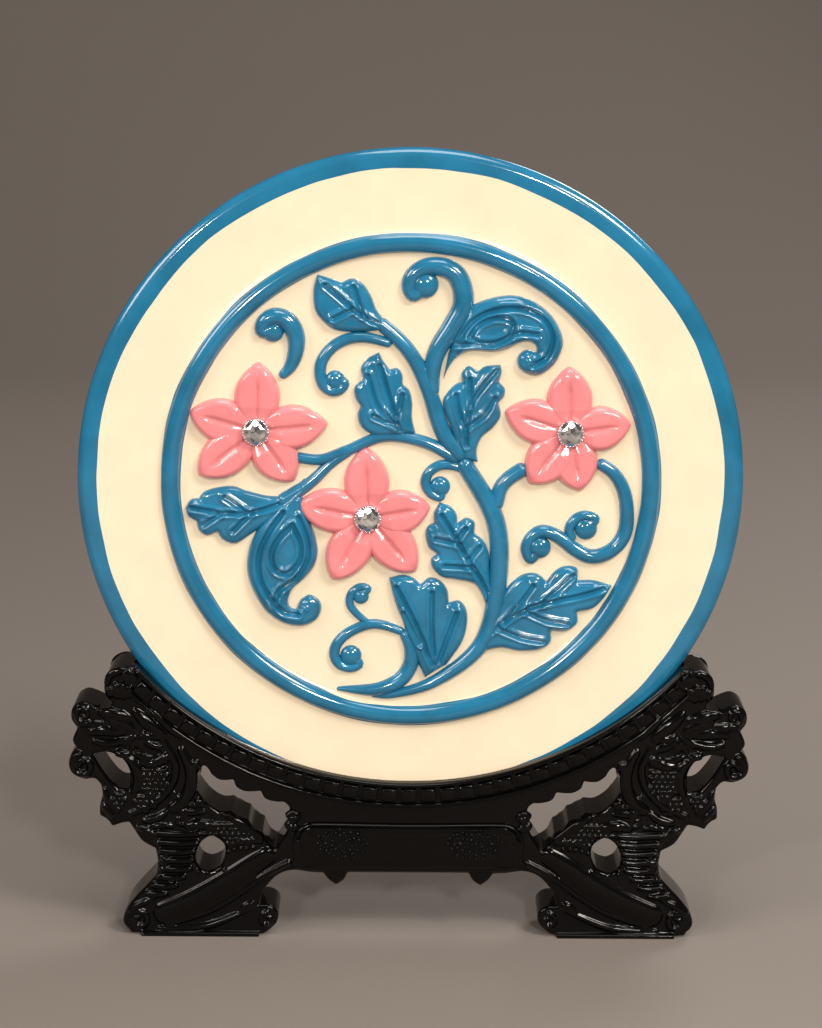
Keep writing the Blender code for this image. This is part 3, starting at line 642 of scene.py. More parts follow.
class Shells:
    """Vertices and faces gathered from several shells into one mesh."""

    def __init__(self):
        self.verts = []
        self.faces = []
        self.normals = []
        self.count = 0

    def add(self, verts, faces, normals=None):
        self.faces += [tuple(i + self.count for i in face) for face in faces]
        self.verts.append(np.asarray(verts, float))
        if normals is not None:
            self.normals.append(normals)
        self.count += len(verts)

    def build(self, name, scale, place, finish):
        mesh = bpy.data.meshes.new(name)
        mesh.from_pydata((np.vstack(self.verts) * scale).tolist(), [], self.faces)
        mesh.validate()
        mesh.shade_smooth()
        if self.normals:
            mesh.normals_split_custom_set_from_vertices(np.vstack(self.normals).tolist())
        mesh.materials.append(finish)
        return add_object(name, mesh, place)


def stroke(shells, path, widths, rise, section):
    """A raised, round-ended stroke. The section gives (across, up) pairs from one foot to the other."""
    tangent = np.gradient(path, axis=0)
    tangent /= np.linalg.norm(tangent, axis=1)[:, None] + 1e-12
    side = np.column_stack([tangent[:, 1], -tangent[:, 0]])
    run = np.concatenate([[0], np.cumsum(np.linalg.norm(np.diff(path, axis=0), axis=1))])
    width = np.array(widths, float)
    width = width * np.maximum(dome((run[-1] - run) / widths[-1]), 0.04)
    width = width * np.maximum(dome(run / widths[0]), 0.04)
    verts = []
    for point, across, half in zip(path, side, width):
        for u, up in section:
            place = point + across * u * half
            verts.append((place[0], place[1], up * rise * half if up > 0 else up))
    columns = len(section)
    faces = []
    for row in range(len(path) - 1):
        for k in range(columns - 1):
            a = row * columns + k
            faces.append((a, a + 1, a + columns + 1, a + columns))
        faces.append(
            (row * columns + columns - 1, row * columns, (row + 1) * columns, (row + 2) * columns - 1)
        )
    faces.append(tuple(range(columns))[::-1])
    last = (len(path) - 1) * columns
    faces.append(tuple(range(last, last + columns)))
    shells.add(verts, faces)


def round_section(count, flat=0.0):
    """A half-round section whose feet dip under the ground."""
    pairs = [(-1.0, -SUNK)]
    for i in range(count + 1):
        angle = math.pi * (1 - i / count)
        pairs.append((math.cos(angle), max(0.0, math.sin(angle)) ** (1 - flat)))
    return [*pairs, (1.0, -SUNK)]


def distances(points, line):
    """How far each point is from the line."""
    start, step = line[:-1], np.diff(line, axis=0)
    length = (step**2).sum(axis=1) + 1e-12
    best = np.full(len(points), np.inf)
    for block in range(0, len(points), 4000):
        part = points[block : block + 4000, None, :] - start[None]
        t = np.clip((part * step[None]).sum(axis=2) / length[None], 0, 1)
        gap = part - t[:, :, None] * step[None]
        best[block : block + 4000] = np.sqrt((gap**2).sum(axis=2).min(axis=1))
    return best


def inside(points, outline):
    """Which of the points lie inside the closed outline."""
    x, y = points[:, 0][:, None], points[:, 1][:, None]
    x0, y0 = outline[:, 0][None], outline[:, 1][None]
    x1, y1 = np.roll(outline[:, 0], -1)[None], np.roll(outline[:, 1], -1)[None]
    crosses = (y0 > y) != (y1 > y)
    at = x0 + (y - y0) / np.where(y1 == y0, 1e-12, y1 - y0) * (x1 - x0)
    return (crosses & (x < at)).sum(axis=1) % 2 == 1


def run_outline(runs, spacing):
    """A closed outline from runs that are smooth inside and meet in corners."""
    return np.vstack([smooth_line(run, spacing)[:-1] for run in runs])


def relief(shells, outline, height, spacing=0.48):
    """A raised form with this outline; height(points, distance to the edge) gives its surface."""
    closed = np.vstack([outline, outline[:1]])
    low, high = outline.min(axis=0), outline.max(axis=0)
    rows = np.arange(low[1], high[1], spacing * 0.87)
    grid = [
        (x + spacing / 2 * (k % 2), y)
        for k, y in enumerate(rows)
        for x in np.arange(low[0], high[0], spacing)
    ]
    grid = np.array(grid)
    grid = grid[inside(grid, outline)]
    grid = grid[distances(grid, closed) > 1.15]
    tangent = np.roll(outline, -1, axis=0) - np.roll(outline, 1, axis=0)
    tangent /= np.linalg.norm(tangent, axis=1)[:, None] + 1e-12
    area = (outline[:, 0] * np.roll(outline[:, 1], -1) - np.roll(outline[:, 0], -1) * outline[:, 1]).sum()
    inward = np.column_stack([-tangent[:, 1], tangent[:, 0]]) * (1 if area > 0 else -1)
    points = [outline]
    # Rings of points follow the edge, where the surface curves most
    for step in (0.12, 0.36, 0.75):
        ring = outline + inward * step
        keep = inside(ring, outline)
        ring = ring[keep]
        points.append(ring[distances(ring, closed) > step * 0.8])
    points = np.vstack([*points, grid])
    edges = [(i, (i + 1) % len(outline)) for i in range(len(outline))]
    found = delaunay_2d_cdt([Vector(p) for p in points], edges, [], 1, 1e-5)
    flat = np.array([tuple(p) for p in found[0]])
    faces = [tuple(face) for face in found[2]]

    def surface(at):
        return height(at, distances(at, closed) * np.where(inside(at, outline), 1, -1))

    level = surface(flat)
    step = 0.06
    slope_x = surface(flat + (step, 0)) - surface(flat - (step, 0))
    slope_y = surface(flat + (0, step)) - surface(flat - (0, step))
    normals = np.column_stack([-slope_x, -slope_y, np.full(len(flat), 2 * step)])
    normals /= np.linalg.norm(normals, axis=1)[:, None]
    shells.add(np.column_stack([flat, level]), faces, normals)


class Finish:
    """A Principled material and the nodes that feed it, all placed on the object's own coordinates."""

    def __init__(self, name, color, roughness, coat=0.0):
        self.material = bpy.data.materials.new(name)
        self.material.use_nodes = True
        self.material.diffuse_color = (*color, 1)
        self.nodes = self.material.node_tree.nodes
        self.links = self.material.node_tree.links
        self.sockets = self.nodes["Principled BSDF"].inputs
        self.sockets["Base Color"].default_value = (*color, 1)
        self.sockets["Roughness"].default_value = roughness
        self.sockets["Coat Weight"].default_value = coat
        self.sockets["Coat Roughness"].default_value = 0.04
        self.place = self.nodes.new("ShaderNodeTexCoord").outputs["Object"]

    def feed(self, value, socket):
        self.links.new(value, self.sockets[socket])

    def noise(self, scale, detail=3.0):
        texture = self.nodes.new("ShaderNodeTexNoise")
        texture.inputs["Scale"].default_value = scale
        texture.inputs["Detail"].default_value = detail
        self.links.new(self.place, texture.inputs["Vector"])
        return texture.outputs["Fac"]

    def ramp(self, value, stops):
        made = self.nodes.new("ShaderNodeValToRGB")
        for element, (place, color) in zip(made.color_ramp.elements, stops):
            element.position = place
            element.color = (*color, 1)
        self.links.new(value, made.inputs["Fac"])
        return made.outputs["Color"]

    def vary_gloss(self, scale, low, high):
        """Roughness that wanders between two values."""
        self.feed(self.ramp(self.noise(scale), ((0.3, (low,) * 3), (0.75, (high,) * 3))), "Roughness")

    def bumpy(self, scale, detail, strength, distance):
        """Fine unevenness of the surface."""
        made = self.nodes.new("ShaderNodeBump")
        made.inputs["Strength"].default_value = strength
        made.inputs["Distance"].default_value = distance
        self.links.new(self.noise(scale, detail), made.inputs["Height"])
        self.feed(made.outputs["Normal"], "Normal")

    def math(self, operation, first, second=None):
        made = self.nodes.new("ShaderNodeMath")
        made.operation = operation
        for socket, value in zip(made.inputs, (first, second)):
            if isinstance(value, (int, float)):
                socket.default_value = value
            elif value is not None:
                self.links.new(value, socket)
        return made.outputs[0]


def shade(color, factor):
    return tuple(min(1.0, channel * factor) for channel in color)


def enamel(name, color, deep, light):
    """Brushed-on enamel that is a little deeper and lighter from place to place."""
    finish = Finish(name, color, 0.2, 0.6)
    tint = finish.ramp(finish.noise(90), ((0.3, shade(color, deep)), (0.7, shade(color, light))))
    finish.feed(tint, "Base Color")
    finish.vary_gloss(260, 0.11, 0.22)
    finish.bumpy(210, 2, 0.22, 0.4 * MM)
    return finish.material


def blue_enamel(name, look):
    return enamel(name, look.blue, 0.8, 1.25)


def glaze(look):
    """Cream glaze with the rim and the ring painted over it in blue by hand."""
    finish = Finish("cream_glaze_and_blue_bands", look.cream, 0.12, 0.5)
    split = finish.nodes.new("ShaderNodeSeparateXYZ")
    finish.links.new(finish.place, split.inputs[0])
    across = finish.math("MULTIPLY", split.outputs["X"], split.outputs["X"])
    up = finish.math("MULTIPLY", split.outputs["Y"], split.outputs["Y"])
    radius = finish.math("SQRT", finish.math("ADD", across, up))
    wander = finish.math("MULTIPLY", finish.math("SUBTRACT", finish.noise(26, 2), 0.5), BRUSH_WANDER)
    radius = finish.math("ADD", radius, wander)
    rim = finish.math("GREATER_THAN", radius, PLATE_RADIUS - RIM_WIDTH)
    off_ring = finish.math("ABSOLUTE", finish.math("SUBTRACT", radius, RING_RADIUS))
    ring = finish.math("LESS_THAN", off_ring, RING_HALF_WIDTH + BRUSH_OVERLAP)
    front = finish.math("GREATER_THAN", split.outputs["Z"], PAINT_BACK_LEVEL)
    painted = finish.math("MULTIPLY", finish.math("MAXIMUM", rim, ring), front)
    patches = finish.noise(60)
    cream = finish.ramp(patches, ((0.3, shade(look.cream, 0.96)), (0.75, shade(look.cream, 1.03))))
    blue = finish.ramp(patches, ((0.3, shade(look.blue, 0.85)), (0.7, shade(look.blue, 1.2))))
    mix = finish.nodes.new("ShaderNodeMix")
    mix.data_type = "RGBA"
    # A Mix node's inputs 0, 6 and 7 are its factor and its two colours, and output 2 is the colour
    for value, socket in ((painted, 0), (cream, 6), (blue, 7)):
        finish.links.new(value, mix.inputs[socket])
    finish.feed(mix.outputs[2], "Base Color")
    finish.bumpy(45, 2, 0.12, 0.6 * MM)
    return finish.material


def black_plastic(look):
    """Glossy moulded plastic with faint flow marks."""
    finish = Finish("black_gloss_plastic", look.black, 0.16)
    finish.sockets["Specular IOR Level"].default_value = 0.2
    finish.vary_gloss(120, 0.06, 0.16)
    finish.bumpy(420, 2, 0.16, 0.25 * MM)
    return finish.material


def keep_piece(obj, node):
    """The piece rides the root body and stands in for its node where it has one."""
    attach(obj, "root")
    if node:
        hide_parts(node)


def plate_profile():
    """The plate's section, from its middle over the front, round the rim and back underneath."""
    paint_edge = PLATE_RADIUS - RIM_WIDTH
    inner, outer = RING_RADIUS - RING_HALF_WIDTH, RING_RADIUS + RING_HALF_WIDTH
    profile = [
        (0.0, GROUND_LEVEL), (RING_RADIUS * 0.6, GROUND_LEVEL), (inner - 1.2 * MM, GROUND_LEVEL),
        (inner - 0.3 * MM, GROUND_LEVEL + 0.1 * MM),
    ]
    for i in range(1, 20):
        angle = math.pi * (1 - i / 20)
        base = GROUND_LEVEL + (MARLY_INNER_LEVEL - GROUND_LEVEL) * i / 20
        across = RING_RADIUS + RING_HALF_WIDTH * math.cos(angle)
        profile.append((across, base + RING_HEIGHT * math.sin(angle)))
    profile.append((outer + 0.4 * MM, MARLY_INNER_LEVEL + 0.08 * MM))
    for i in range(9):
        share = i / 8
        level = MARLY_INNER_LEVEL + (RIM_FRONT * 0.8 - MARLY_INNER_LEVEL) * share**1.6
        profile.append((outer + 2 * MM + (paint_edge - outer - 3 * MM) * share, level))
    for i in range(15):
        angle = math.radians(75 - 165 * i / 14)
        across = paint_edge + RIM_WIDTH * 0.42 + RIM_WIDTH * 0.555 * math.cos(angle)
        swell = RIM_FRONT * 0.88 if angle > 0 else RIM_BACK + RIM_FRONT * 0.1
        profile.append((across, RIM_FRONT * 0.1 + swell * math.sin(angle)))
    return [*profile, (PLATE_RADIUS * 0.9, -RIM_BACK), (0.0, -RIM_BACK)]


class PLATE_OT_body(bpy.types.Operator):
    """Turns the plate's body, with its ring and its rolled rim"""

    bl_idname = "display_plate.body"
    bl_label = "Plate body"

    def execute(self, context):
        look = context.scene.plate_look
        profile = plate_profile()
        shells = Shells()
        verts = []
        for i in range(PLATE_STEPS):
            angle = 2 * math.pi * i / PLATE_STEPS
            verts += [(r * math.cos(angle), r * math.sin(angle), z) for r, z in profile[1:-1]]
        rows = len(profile) - 2
        faces = []
        for i in range(PLATE_STEPS):
            following = (i + 1) % PLATE_STEPS
            for k in range(rows - 1):
                a, b = i * rows + k, following * rows + k
                faces.append((a, a + 1, b + 1, b))
        top, bottom = len(verts), len(verts) + 1
        verts += [(0, 0, profile[0][1]), (0, 0, profile[-1][1])]
        for i in range(PLATE_STEPS):
            following = (i + 1) % PLATE_STEPS
            faces.append((top, i * rows, following * rows))
            faces.append((bottom, following * rows + rows - 1, i * rows + rows - 1))
        shells.add(verts, faces)
        plate = shells.build("plate_body", 1, PLATE_FRAME, glaze(look))
        keep_piece(plate, "plate")
        return {"FINISHED"}


class PLATE_OT_vines(bpy.types.Operator):
    """Lays the raised vines and their curled ends"""

    bl_idname = "display_plate.vines"
    bl_label = "Vines"

    def execute(self, context):
        look = context.scene.plate_look
        shells = Shells()
        section = round_section(14)
        for points, ball, widths in VINES:
            if ball:
                place, radius = ball
                points = [*points, place]
                bead(shells, place, radius * 1.06, radius * 0.68, 24, 8)
            path = smooth_line(points, 0.5)
            stroke(shells, path, passing(len(path), *widths), look.vine_rise, section)
        vines = shells.build("vines", MM * GRID, GROUND_FRAME, blue_enamel("blue_enamel", look))
        keep_piece(vines, None)
        return {"FINISHED"}


def veined(rise, edge, grooves, depth, half_width):
    """A height: a round-shouldered form with sunk lines."""
    lines = [smooth_line(groove, 0.8) for groove in grooves]

    def height(points, gap):
        level = dome(gap / edge)
        for number, line in enumerate(lines):
            near = distances(points, line)
            share = depth * (1.15 if number == 0 else 0.9)
            level = level * (1 - share * np.exp(-((near / half_width) ** 2)))
            level = level * (1 + 0.18 * np.exp(-(((near - 2.3 * half_width) / half_width) ** 2)))
        return np.where(gap <= 0, -SUNK, level * rise - SUNK * (1 - dome(gap / 0.3)))

    return height


class PLATE_OT_leaves(bpy.types.Operator):
    """Raises the lobed leaves, with their sunk veins"""

    bl_idname = "display_plate.leaves"
    bl_label = "Leaves"

    def execute(self, context):
        look = context.scene.plate_look
        shells = Shells()
        rise = look.leaf_rise / MM
        for lobes, veins in LEAVES.values():
            relief(shells, run_outline(lobes, 0.45), veined(rise, 2.6, veins, 0.4, 0.7))
        leaves = shells.build("leaves", MM * GRID, GROUND_FRAME, blue_enamel("blue_enamel_leaves", look))
        keep_piece(leaves, None)
        return {"FINISHED"}


class PLATE_OT_paisleys(bpy.types.Operator):
    """Raises the two large curled forms with their teardrops"""

    bl_idname = "display_plate.paisleys"
    bl_label = "Paisleys"

    def execute(self, context):
        look = context.scene.plate_look
        shells = Shells()
        rise = look.leaf_rise / MM * 1.15
        for edge, grooves, ball in PAISLEYS.values():
            outline = smooth_line([*edge, edge[0]], 0.45)[:-1]
            body = veined(rise, 2.6, grooves, 0.42, 0.75)

            def height(points, gap, body=body, ball=ball):
                off = np.hypot(points[:, 0] - ball[0], points[:, 1] - ball[1])
                bulb = dome(1 - off / 3.2) * rise * 1.15 * dome(gap / 1.2)
                level = body(points, gap)
                return np.where(gap > 0, np.maximum(level, bulb), level)

            relief(shells, outline, height)
        pieces = shells.build("paisleys", MM * GRID, GROUND_FRAME, blue_enamel("blue_enamel_paisleys", look))
        keep_piece(pieces, None)
        return {"FINISHED"}


def petal(shells, heart, degrees, length, half_width, rise):
    """One petal: a pointed, puffed form with a groove down its middle."""
    reach = np.array([math.cos(math.radians(degrees)), math.sin(math.radians(degrees))])
    side = np.array([-reach[1], reach[0]])
    rows, columns = 64, 40
    along = np.linspace(0.05, 1, rows)
    width = half_width * np.clip(np.sin(np.pi * (0.08 + 0.92 * along) ** 1.12), 0, 1) ** 0.72
    width = np.maximum(width, 0.05)
    spread = np.sin(np.linspace(-np.pi / 2, np.pi / 2, columns))
    verts = []
    for t, half in zip(along, width):
        body = rise * (0.35 + 0.65 * min(1.0, t / 0.35)) * float(dome((1 - t) * length / 5.0))
        shoulder = dome(np.minimum(1, (1 - abs(spread)) * half / 2.8))
        groove = 0.34 * np.exp(-((spread * half / 0.55) ** 2)) + 0.1 * np.exp(-((spread * half / 1.9) ** 2))
        groove = groove * np.clip((0.8 - t) / 0.18, 0, 1)
        level = body * (shoulder * (0.94 + 0.06 * np.abs(spread)) - groove)
        for s, z in zip(spread, level):
            place = heart + reach * t * length + side * s * half
            verts.append((place[0], place[1], z if abs(s) < 0.9999 else -SUNK))
    faces = []
    for row in range(rows - 1):
        for k in range(columns - 1):
            a = row * columns + k
            faces.append((a, a + columns, a + columns + 1, a + 1))
    shells.add(verts, faces)


class PLATE_OT_flowers(bpy.types.Operator):
    """Raises the three flowers, five petals each"""

    bl_idname = "display_plate.flowers"
    bl_label = "Flowers"

    def execute(self, context):
        look = context.scene.plate_look
        finish = enamel("pink_enamel", look.pink, 0.93, 1.08)
        half_width, rise = look.petal_half_width / MM, look.petal_rise / MM
        for name, (heart, petals) in FLOWERS.items():
            shells = Shells()
            for number, (degrees, length) in enumerate(petals):
                lift = 1 + 0.05 * (number % 2)
                petal(shells, np.array(heart, float), degrees, length, half_width, rise * lift)
            bead(shells, heart, 6.4, rise * 0.8, 32, 10)
            flower = shells.build(f"flower_{name}", MM * GRID, GROUND_FRAME, finish)
            keep_piece(flower, None)
        return {"FINISHED"}


def hull(name, points, place, finish):
    made = bmesh.new()
    for point in points:
        made.verts.new(point)
    bmesh.ops.convex_hull(made, input=made.verts)
    bmesh.ops.dissolve_limit(made, angle_limit=math.radians(1), verts=made.verts, edges=made.edges)
    bmesh.ops.recalc_face_normals(made, faces=made.faces)
    mesh = finished_mesh(name, made)
    mesh.materials.append(finish)
    return add_object(name, mesh, place)


def ring_points(count, radius, level, turn=0.0):
    angles = [2 * math.pi / count * (i + turn) for i in range(count)]
    return [(radius * math.cos(angle), radius * math.sin(angle), level) for angle in angles]


class PLATE_OT_stones(bpy.types.Operator):
    """Cuts the three stones and sets them on their foil"""

    bl_idname = "display_plate.stones"
    bl_label = "Stones"

    def execute(self, context):
        look = context.scene.stone_look
        stone = Finish("cut_crystal", (0.95, 0.96, 0.98), 0.04)
        stone.sockets["Metallic"].default_value = 0.9
        # Painted reflections: grey and white cells in the stone's colour stand in for the bright glints and
        # dark reflections of its facets
        cells = stone.nodes.new("ShaderNodeTexVoronoi")
        cells.inputs["Scale"].default_value = 620
        stone.links.new(stone.place, cells.inputs["Vector"])
        sparkle = stone.ramp(cells.outputs["Color"], ((0.3, (0.3, 0.3, 0.32)), (0.55, (1, 1, 1))))
        stone.feed(sparkle, "Base Color")
        foil = Finish("silver_foil", (0.9, 0.9, 0.92), 0.15)
        foil.sockets["Metallic"].default_value = 1.0
        foil.bumpy(1500, 3, 0.3, 0.2 * MM)
        radius, height = look.radius, look.height
        for name, (heart, _) in FLOWERS.items():
            across, up = (value * GRID * MM for value in heart)
            base = GROUND_FRAME @ Matrix.Translation((across, up, SEAT_HEIGHT))
            points = (
                ring_points(8, radius * 0.52, height) + ring_points(8, radius * 0.78, height * 0.72, 0.5)
                + ring_points(16, radius * 0.97, height * 0.34, 0.5) + ring_points(16, radius, height * 0.12)
                + ring_points(16, radius * 0.98, 0.05 * MM)
            )
            cut = hull(f"stone_{name}", points, base, stone.material)
            keep_piece(cut, f"crystal_{name}")
            cup = Shells()
            rim = ((1.06, -2.4 * MM), (1.06, 0.3 * MM), (1.0, 0.45 * MM), (0.96, 0.02 * MM))
            verts, faces = [], []
            for i in range(SETTING_STEPS):
                angle = 2 * math.pi * i / SETTING_STEPS
                verts += [(radius * r * math.cos(angle), radius * r * math.sin(angle), z) for r, z in rim]
                following = (i + 1) % SETTING_STEPS
                for k in range(3):
                    a, b = i * 4 + k, following * 4 + k
                    faces.append((a, b, b + 1, a + 1))
            faces.append(tuple(i * 4 + 3 for i in range(SETTING_STEPS)))
            faces.append(tuple(i * 4 for i in reversed(range(SETTING_STEPS))))
            cup.add(verts, faces)
            for i in range(SETTING_BEADS):
                angle = 2 * math.pi * i / SETTING_BEADS
                place = (radius * 1.02 * math.cos(angle), radius * 1.02 * math.sin(angle))
                bead(cup, place, 0.42 * MM, 0.75 * MM, 8)
            setting = cup.build(f"setting_{name}", 1, base, foil.material)
            keep_piece(setting, None)
        return {"FINISHED"}


def flat_solid(name, outlines, half_depth, soft):
    """A slab of the outlines with softened edges, as a mesh object standing in the stand's plane."""
    curve = bpy.data.curves.new(name, "CURVE")
    curve.dimensions = "2D"
    curve.fill_mode = "BOTH"
    curve.extrude = half_depth - soft
    curve.bevel_depth = soft
    curve.bevel_resolution = 2
    curve.offset = -soft
    for outline in outlines:
        spline = curve.splines.new("POLY")
        spline.points.add(len(outline) - 1)
        for point, (x, y) in zip(spline.points, outline):
            point.co = (x, y, 0, 1)
        spline.use_cyclic_u = True
    helper = add_object(name, curve, Matrix.Rotation(math.pi / 2, 4, "X"))
    bpy.context.view_layer.update()
    mesh = bpy.data.meshes.new_from_object(helper.evaluated_get(bpy.context.evaluated_depsgraph_get()))
    made = bmesh.new()
    made.from_mesh(mesh)
    bmesh.ops.remove_doubles(made, verts=made.verts, dist=1e-6)
    bmesh.ops.transform(made, matrix=helper.matrix_world, verts=made.verts)
    bmesh.ops.recalc_face_normals(made, faces=made.faces)
    made.to_mesh(mesh)
    made.free()
    bpy.data.objects.remove(helper)
    return add_object(name, mesh)


def apply_modifiers(obj):
    """The object's modifiers become its mesh."""
    bpy.context.view_layer.update()
    graph = bpy.context.evaluated_depsgraph_get()
    mesh = bpy.data.meshes.new_from_object(obj.evaluated_get(graph))
    obj.modifiers.clear()
    obj.data = mesh


def ledge_arc():
    """A line that follows the ledge's top edge from its outer end to just past the middle."""
    angles = np.linspace(LEDGE_SPREAD, -HALF_OVERLAP / LEDGE_RADIUS, 40)
    return np.column_stack([LEDGE_RADIUS * np.sin(angles), LEDGE_CENTER - LEDGE_RADIUS * np.cos(angles)])


def stand_core():
    """The stand's slab with its openings and the plate's slot."""
    outer = np.vstack([run_outline(STAND_RUNS, OUTLINE_SPACING) * UNIT, ledge_arc()])
    openings = [run_outline(runs, OUTLINE_SPACING) * UNIT for runs in OPENINGS]
    core = flat_solid("stand_core", [outer, *openings], CORE_DEPTH / 2, SLAB_SOFT)
    radius = PLATE_RADIUS * SEAT_OVER_PLATE
    made = bmesh.new()
    place = PLATE_FRAME @ Matrix.Translation((0, radius - PLATE_RADIUS - FIT_GAP, (RIM_FRONT - RIM_BACK) / 2))
    bmesh.ops.create_cone(
        made, cap_ends=True, segments=180, radius1=radius, radius2=radius,
        depth=RIM_FRONT + RIM_BACK + SLOT_PLAY, matrix=place,
    )
    cutter = add_object("slot", finished_mesh("slot", made))
    cut = core.modifiers.new("Slot", "BOOLEAN")
    cut.operation = "DIFFERENCE"
    cut.object = cutter
    apply_modifiers(core)
    bpy.data.objects.remove(cutter)
    return core


def on_core(points, margin):
    """Which of the points lie on the right half's face, this far from its edges."""
    outer = np.vstack([run_outline(STAND_RUNS, OUTLINE_SPACING), ledge_arc() / UNIT])
    found = inside(points, outer) & (distances(points, np.vstack([outer, outer[:1]])) > margin)
    for runs in OPENINGS:
        hole = run_outline(runs, OUTLINE_SPACING)
        found &= ~inside(points, hole) & (distances(points, np.vstack([hole, hole[:1]])) > margin)
    return found


def longest_run(path, kept):
    """The longest unbroken stretch of the path whose points are kept."""
    best, start = (0, 0), None
    for i, here in enumerate([*kept, False]):
        if here and start is None:
            start = i
        elif not here and start is not None:
            best = max(best, (i - start, start))
            start = None
    length, start = best
    return path[start : start + length]


def end_carving():
    """The raised forms of one dragon, its leg and foot, on the front face."""
    shells = Shells()
    section = round_section(8, 0.15)
    for points, drawn in STROKES:
        widths = [STROKE_FULLNESS * width for width in drawn]
        path = smooth_line(points, 0.7)
        path = longest_run(path, on_core(path, 0.7))
        rise = min(1.0, MOST_STROKE_RISE / max(widths))
        stroke(shells, path, passing(len(path), *widths), rise, section)
    for eye, radius, start, turns in SCROLLS:
        angle = math.radians(start)
        arm = np.array(eye) + radius * 0.86 * np.array([math.cos(angle), math.sin(angle)])
        path = even(spiral(arm, eye, 360 * turns, 0.22, 0.5), 0.6)
        widths = passing(len(path), radius * 0.24, radius * 0.22, radius * 0.2)
        stroke(shells, path, widths, 1.2, section)
    for inner, outer, level, sag in BELLY_BARS:
        path = smooth_line(((inner, level), ((inner + outer) / 2, level - sag), (outer, level)), 0.7)
        stroke(shells, path, np.full(len(path), BELLY_BAR_HALF_WIDTH), 1.3, section)
    beads = [
        (place, radius, 1.35)
        for points, spacing, radius in BEAD_ROWS for place in smooth_line(points, spacing)
    ]
    beads += [(place, 1.05, 1.3) for patch in SCALE_PATCHES for place in scale_places(*patch)]
    kept = on_core(np.array([place for place, _, _ in beads]), 1.0)
    for (place, radius, rise), here in zip(beads, kept):
        if here:
            bead(shells, place, radius, rise)
    return shells


def scale_places(middle, reach):
    """Staggered places inside an ellipse."""
    columns, rows = (int(length / SCALE_PITCH) + 1 for length in reach)
    for row in range(-rows, rows + 1):
        for column in range(-columns, columns + 1):
            across, up = (column + 0.5 * (row % 2)) * SCALE_PITCH, row * SCALE_PITCH * 0.9
            if math.hypot(across / reach[0], up / reach[1]) <= 1:
                yield middle[0] + across, middle[1] + up


def bead(shells, place, radius, rise, count=10, rings=4):
    """A round bump on the face."""
    verts, faces = [], []
    for ring in range(rings):
        a = math.radians(-40 + 110 * ring / (rings - 1))
        for i in range(count):
            turn = 2 * math.pi * i / count
            wide = radius * math.cos(a)
            across, up = place[0] + wide * math.cos(turn), place[1] + wide * math.sin(turn)
            verts.append((across, up, rise * math.sin(a)))
    verts.append((place[0], place[1], rise))
    for ring in range(rings - 1):
        for i in range(count):
            a, b = ring * count + i, ring * count + (i + 1) % count
            faces.append((a, b, b + count, a + count))
    top = len(verts) - 1
    for i in range(count):
        last = (rings - 1) * count
        faces.append((last + i, last + (i + 1) % count, top))
    faces.append(tuple(reversed(range(count))))
    shells.add(verts, faces)


class STAND_OT_carving(bpy.types.Operator):
    """Moulds both halves of the stand: core, dragons, legs and feet in one skin"""

    bl_idname = "display_plate.stand_carving"
    bl_label = "Stand carving"

    def execute(self, context):
        look = context.scene.stand_look
        finish = black_plastic(look)
        core = stand_core()
        core.data.materials.clear()
        front = end_carving().build("front_carving", UNIT, FRONT_FRAME, finish)
        behind = Matrix.Scale(-1, 4, (0, 1, 0)) @ FRONT_FRAME
        back = end_carving().build("back_carving", UNIT, behind, finish)
        made = bmesh.new()
        size = Matrix.Diagonal((FOOT_LENGTH * UNIT, CORE_DEPTH + 2 * RELIEF, FOOT_HEIGHT, 1))
        middle = Matrix.Translation((FOOT_MIDDLE * UNIT, 0, FOOT_HEIGHT / 2))
        bmesh.ops.create_cube(made, size=1, matrix=middle @ size)
        sole = add_object("foot", finished_mesh("foot", made))
        half = joined_skin("stand_right", [core, front, back, sole], look.grain)
        half.data.materials.clear()
        half.data.materials.append(finish)
        other = add_object("stand_left", mirrored(half.data))
        keep_piece(half, "stand")
        keep_piece(other, "stand")
        return {"FINISHED"}


def mirrored(mesh):
    """A copy of the mesh, mirrored left to right."""
    made = bmesh.new()
    made.from_mesh(mesh)
    bmesh.ops.transform(made, matrix=Matrix.Scale(-1, 4, (1, 0, 0)), verts=made.verts)
    bmesh.ops.reverse_faces(made, faces=made.faces)
    copy = mesh.copy()
    made.to_mesh(copy)
    made.free()
    return copy


def joined_skin(name, objects, grain):
    """One moulded skin over overlapping closed shapes."""
    whole = bmesh.new()
    for obj in objects:
        part = obj.data.copy()
        part.transform(obj.matrix_world)
        if obj.matrix_world.determinant() < 0:
            part.flip_normals()
        whole.from_mesh(part)
        bpy.data.objects.remove(obj)
    skin = add_object(name, finished_mesh(name, whole))
    remesh = skin.modifiers.new("Skin", "REMESH")
    remesh.mode = "VOXEL"
    remesh.voxel_size = grain
    remesh.use_smooth_shade = True
    relax = skin.modifiers.new("Relax", "SMOOTH")
    relax.factor = 0.4
    relax.iterations = 2
    thin = skin.modifiers.new("Thin", "DECIMATE")
    thin.ratio = SKIN_SHARE
    apply_modifiers(skin)
    return skin


def mirror_runs(runs):
    """The outline's right half from the runs, then the same points mirrored back to its start."""
    half = run_outline(runs, 0.7)
    half = np.vstack([half, runs[-1][-1:]])
    return np.vstack([half, (half * (-1, 1))[::-1][1:-1]])


def grainy(middle, reach, seed):
    """Places and radii of the cast grains in an elliptical patch, thinning towards its edge."""
    random = np.random.default_rng(seed)
    found = []
    while len(found) < MOST_GRAINS:
        at = random.uniform(-1, 1, 2)
        radius = random.uniform(0.45, 1.15)
        if np.hypot(*at) > 1 or random.uniform() < np.hypot(*at) - 0.35:
            continue
        place = np.array(middle) + at * reach
        if all(np.hypot(*(place - other)) > (radius + size) * 0.85 for other, size in found):
            found.append((place, radius))
        elif len(found) > ENOUGH_GRAINS and random.uniform() < 0.02:
            break
    return found


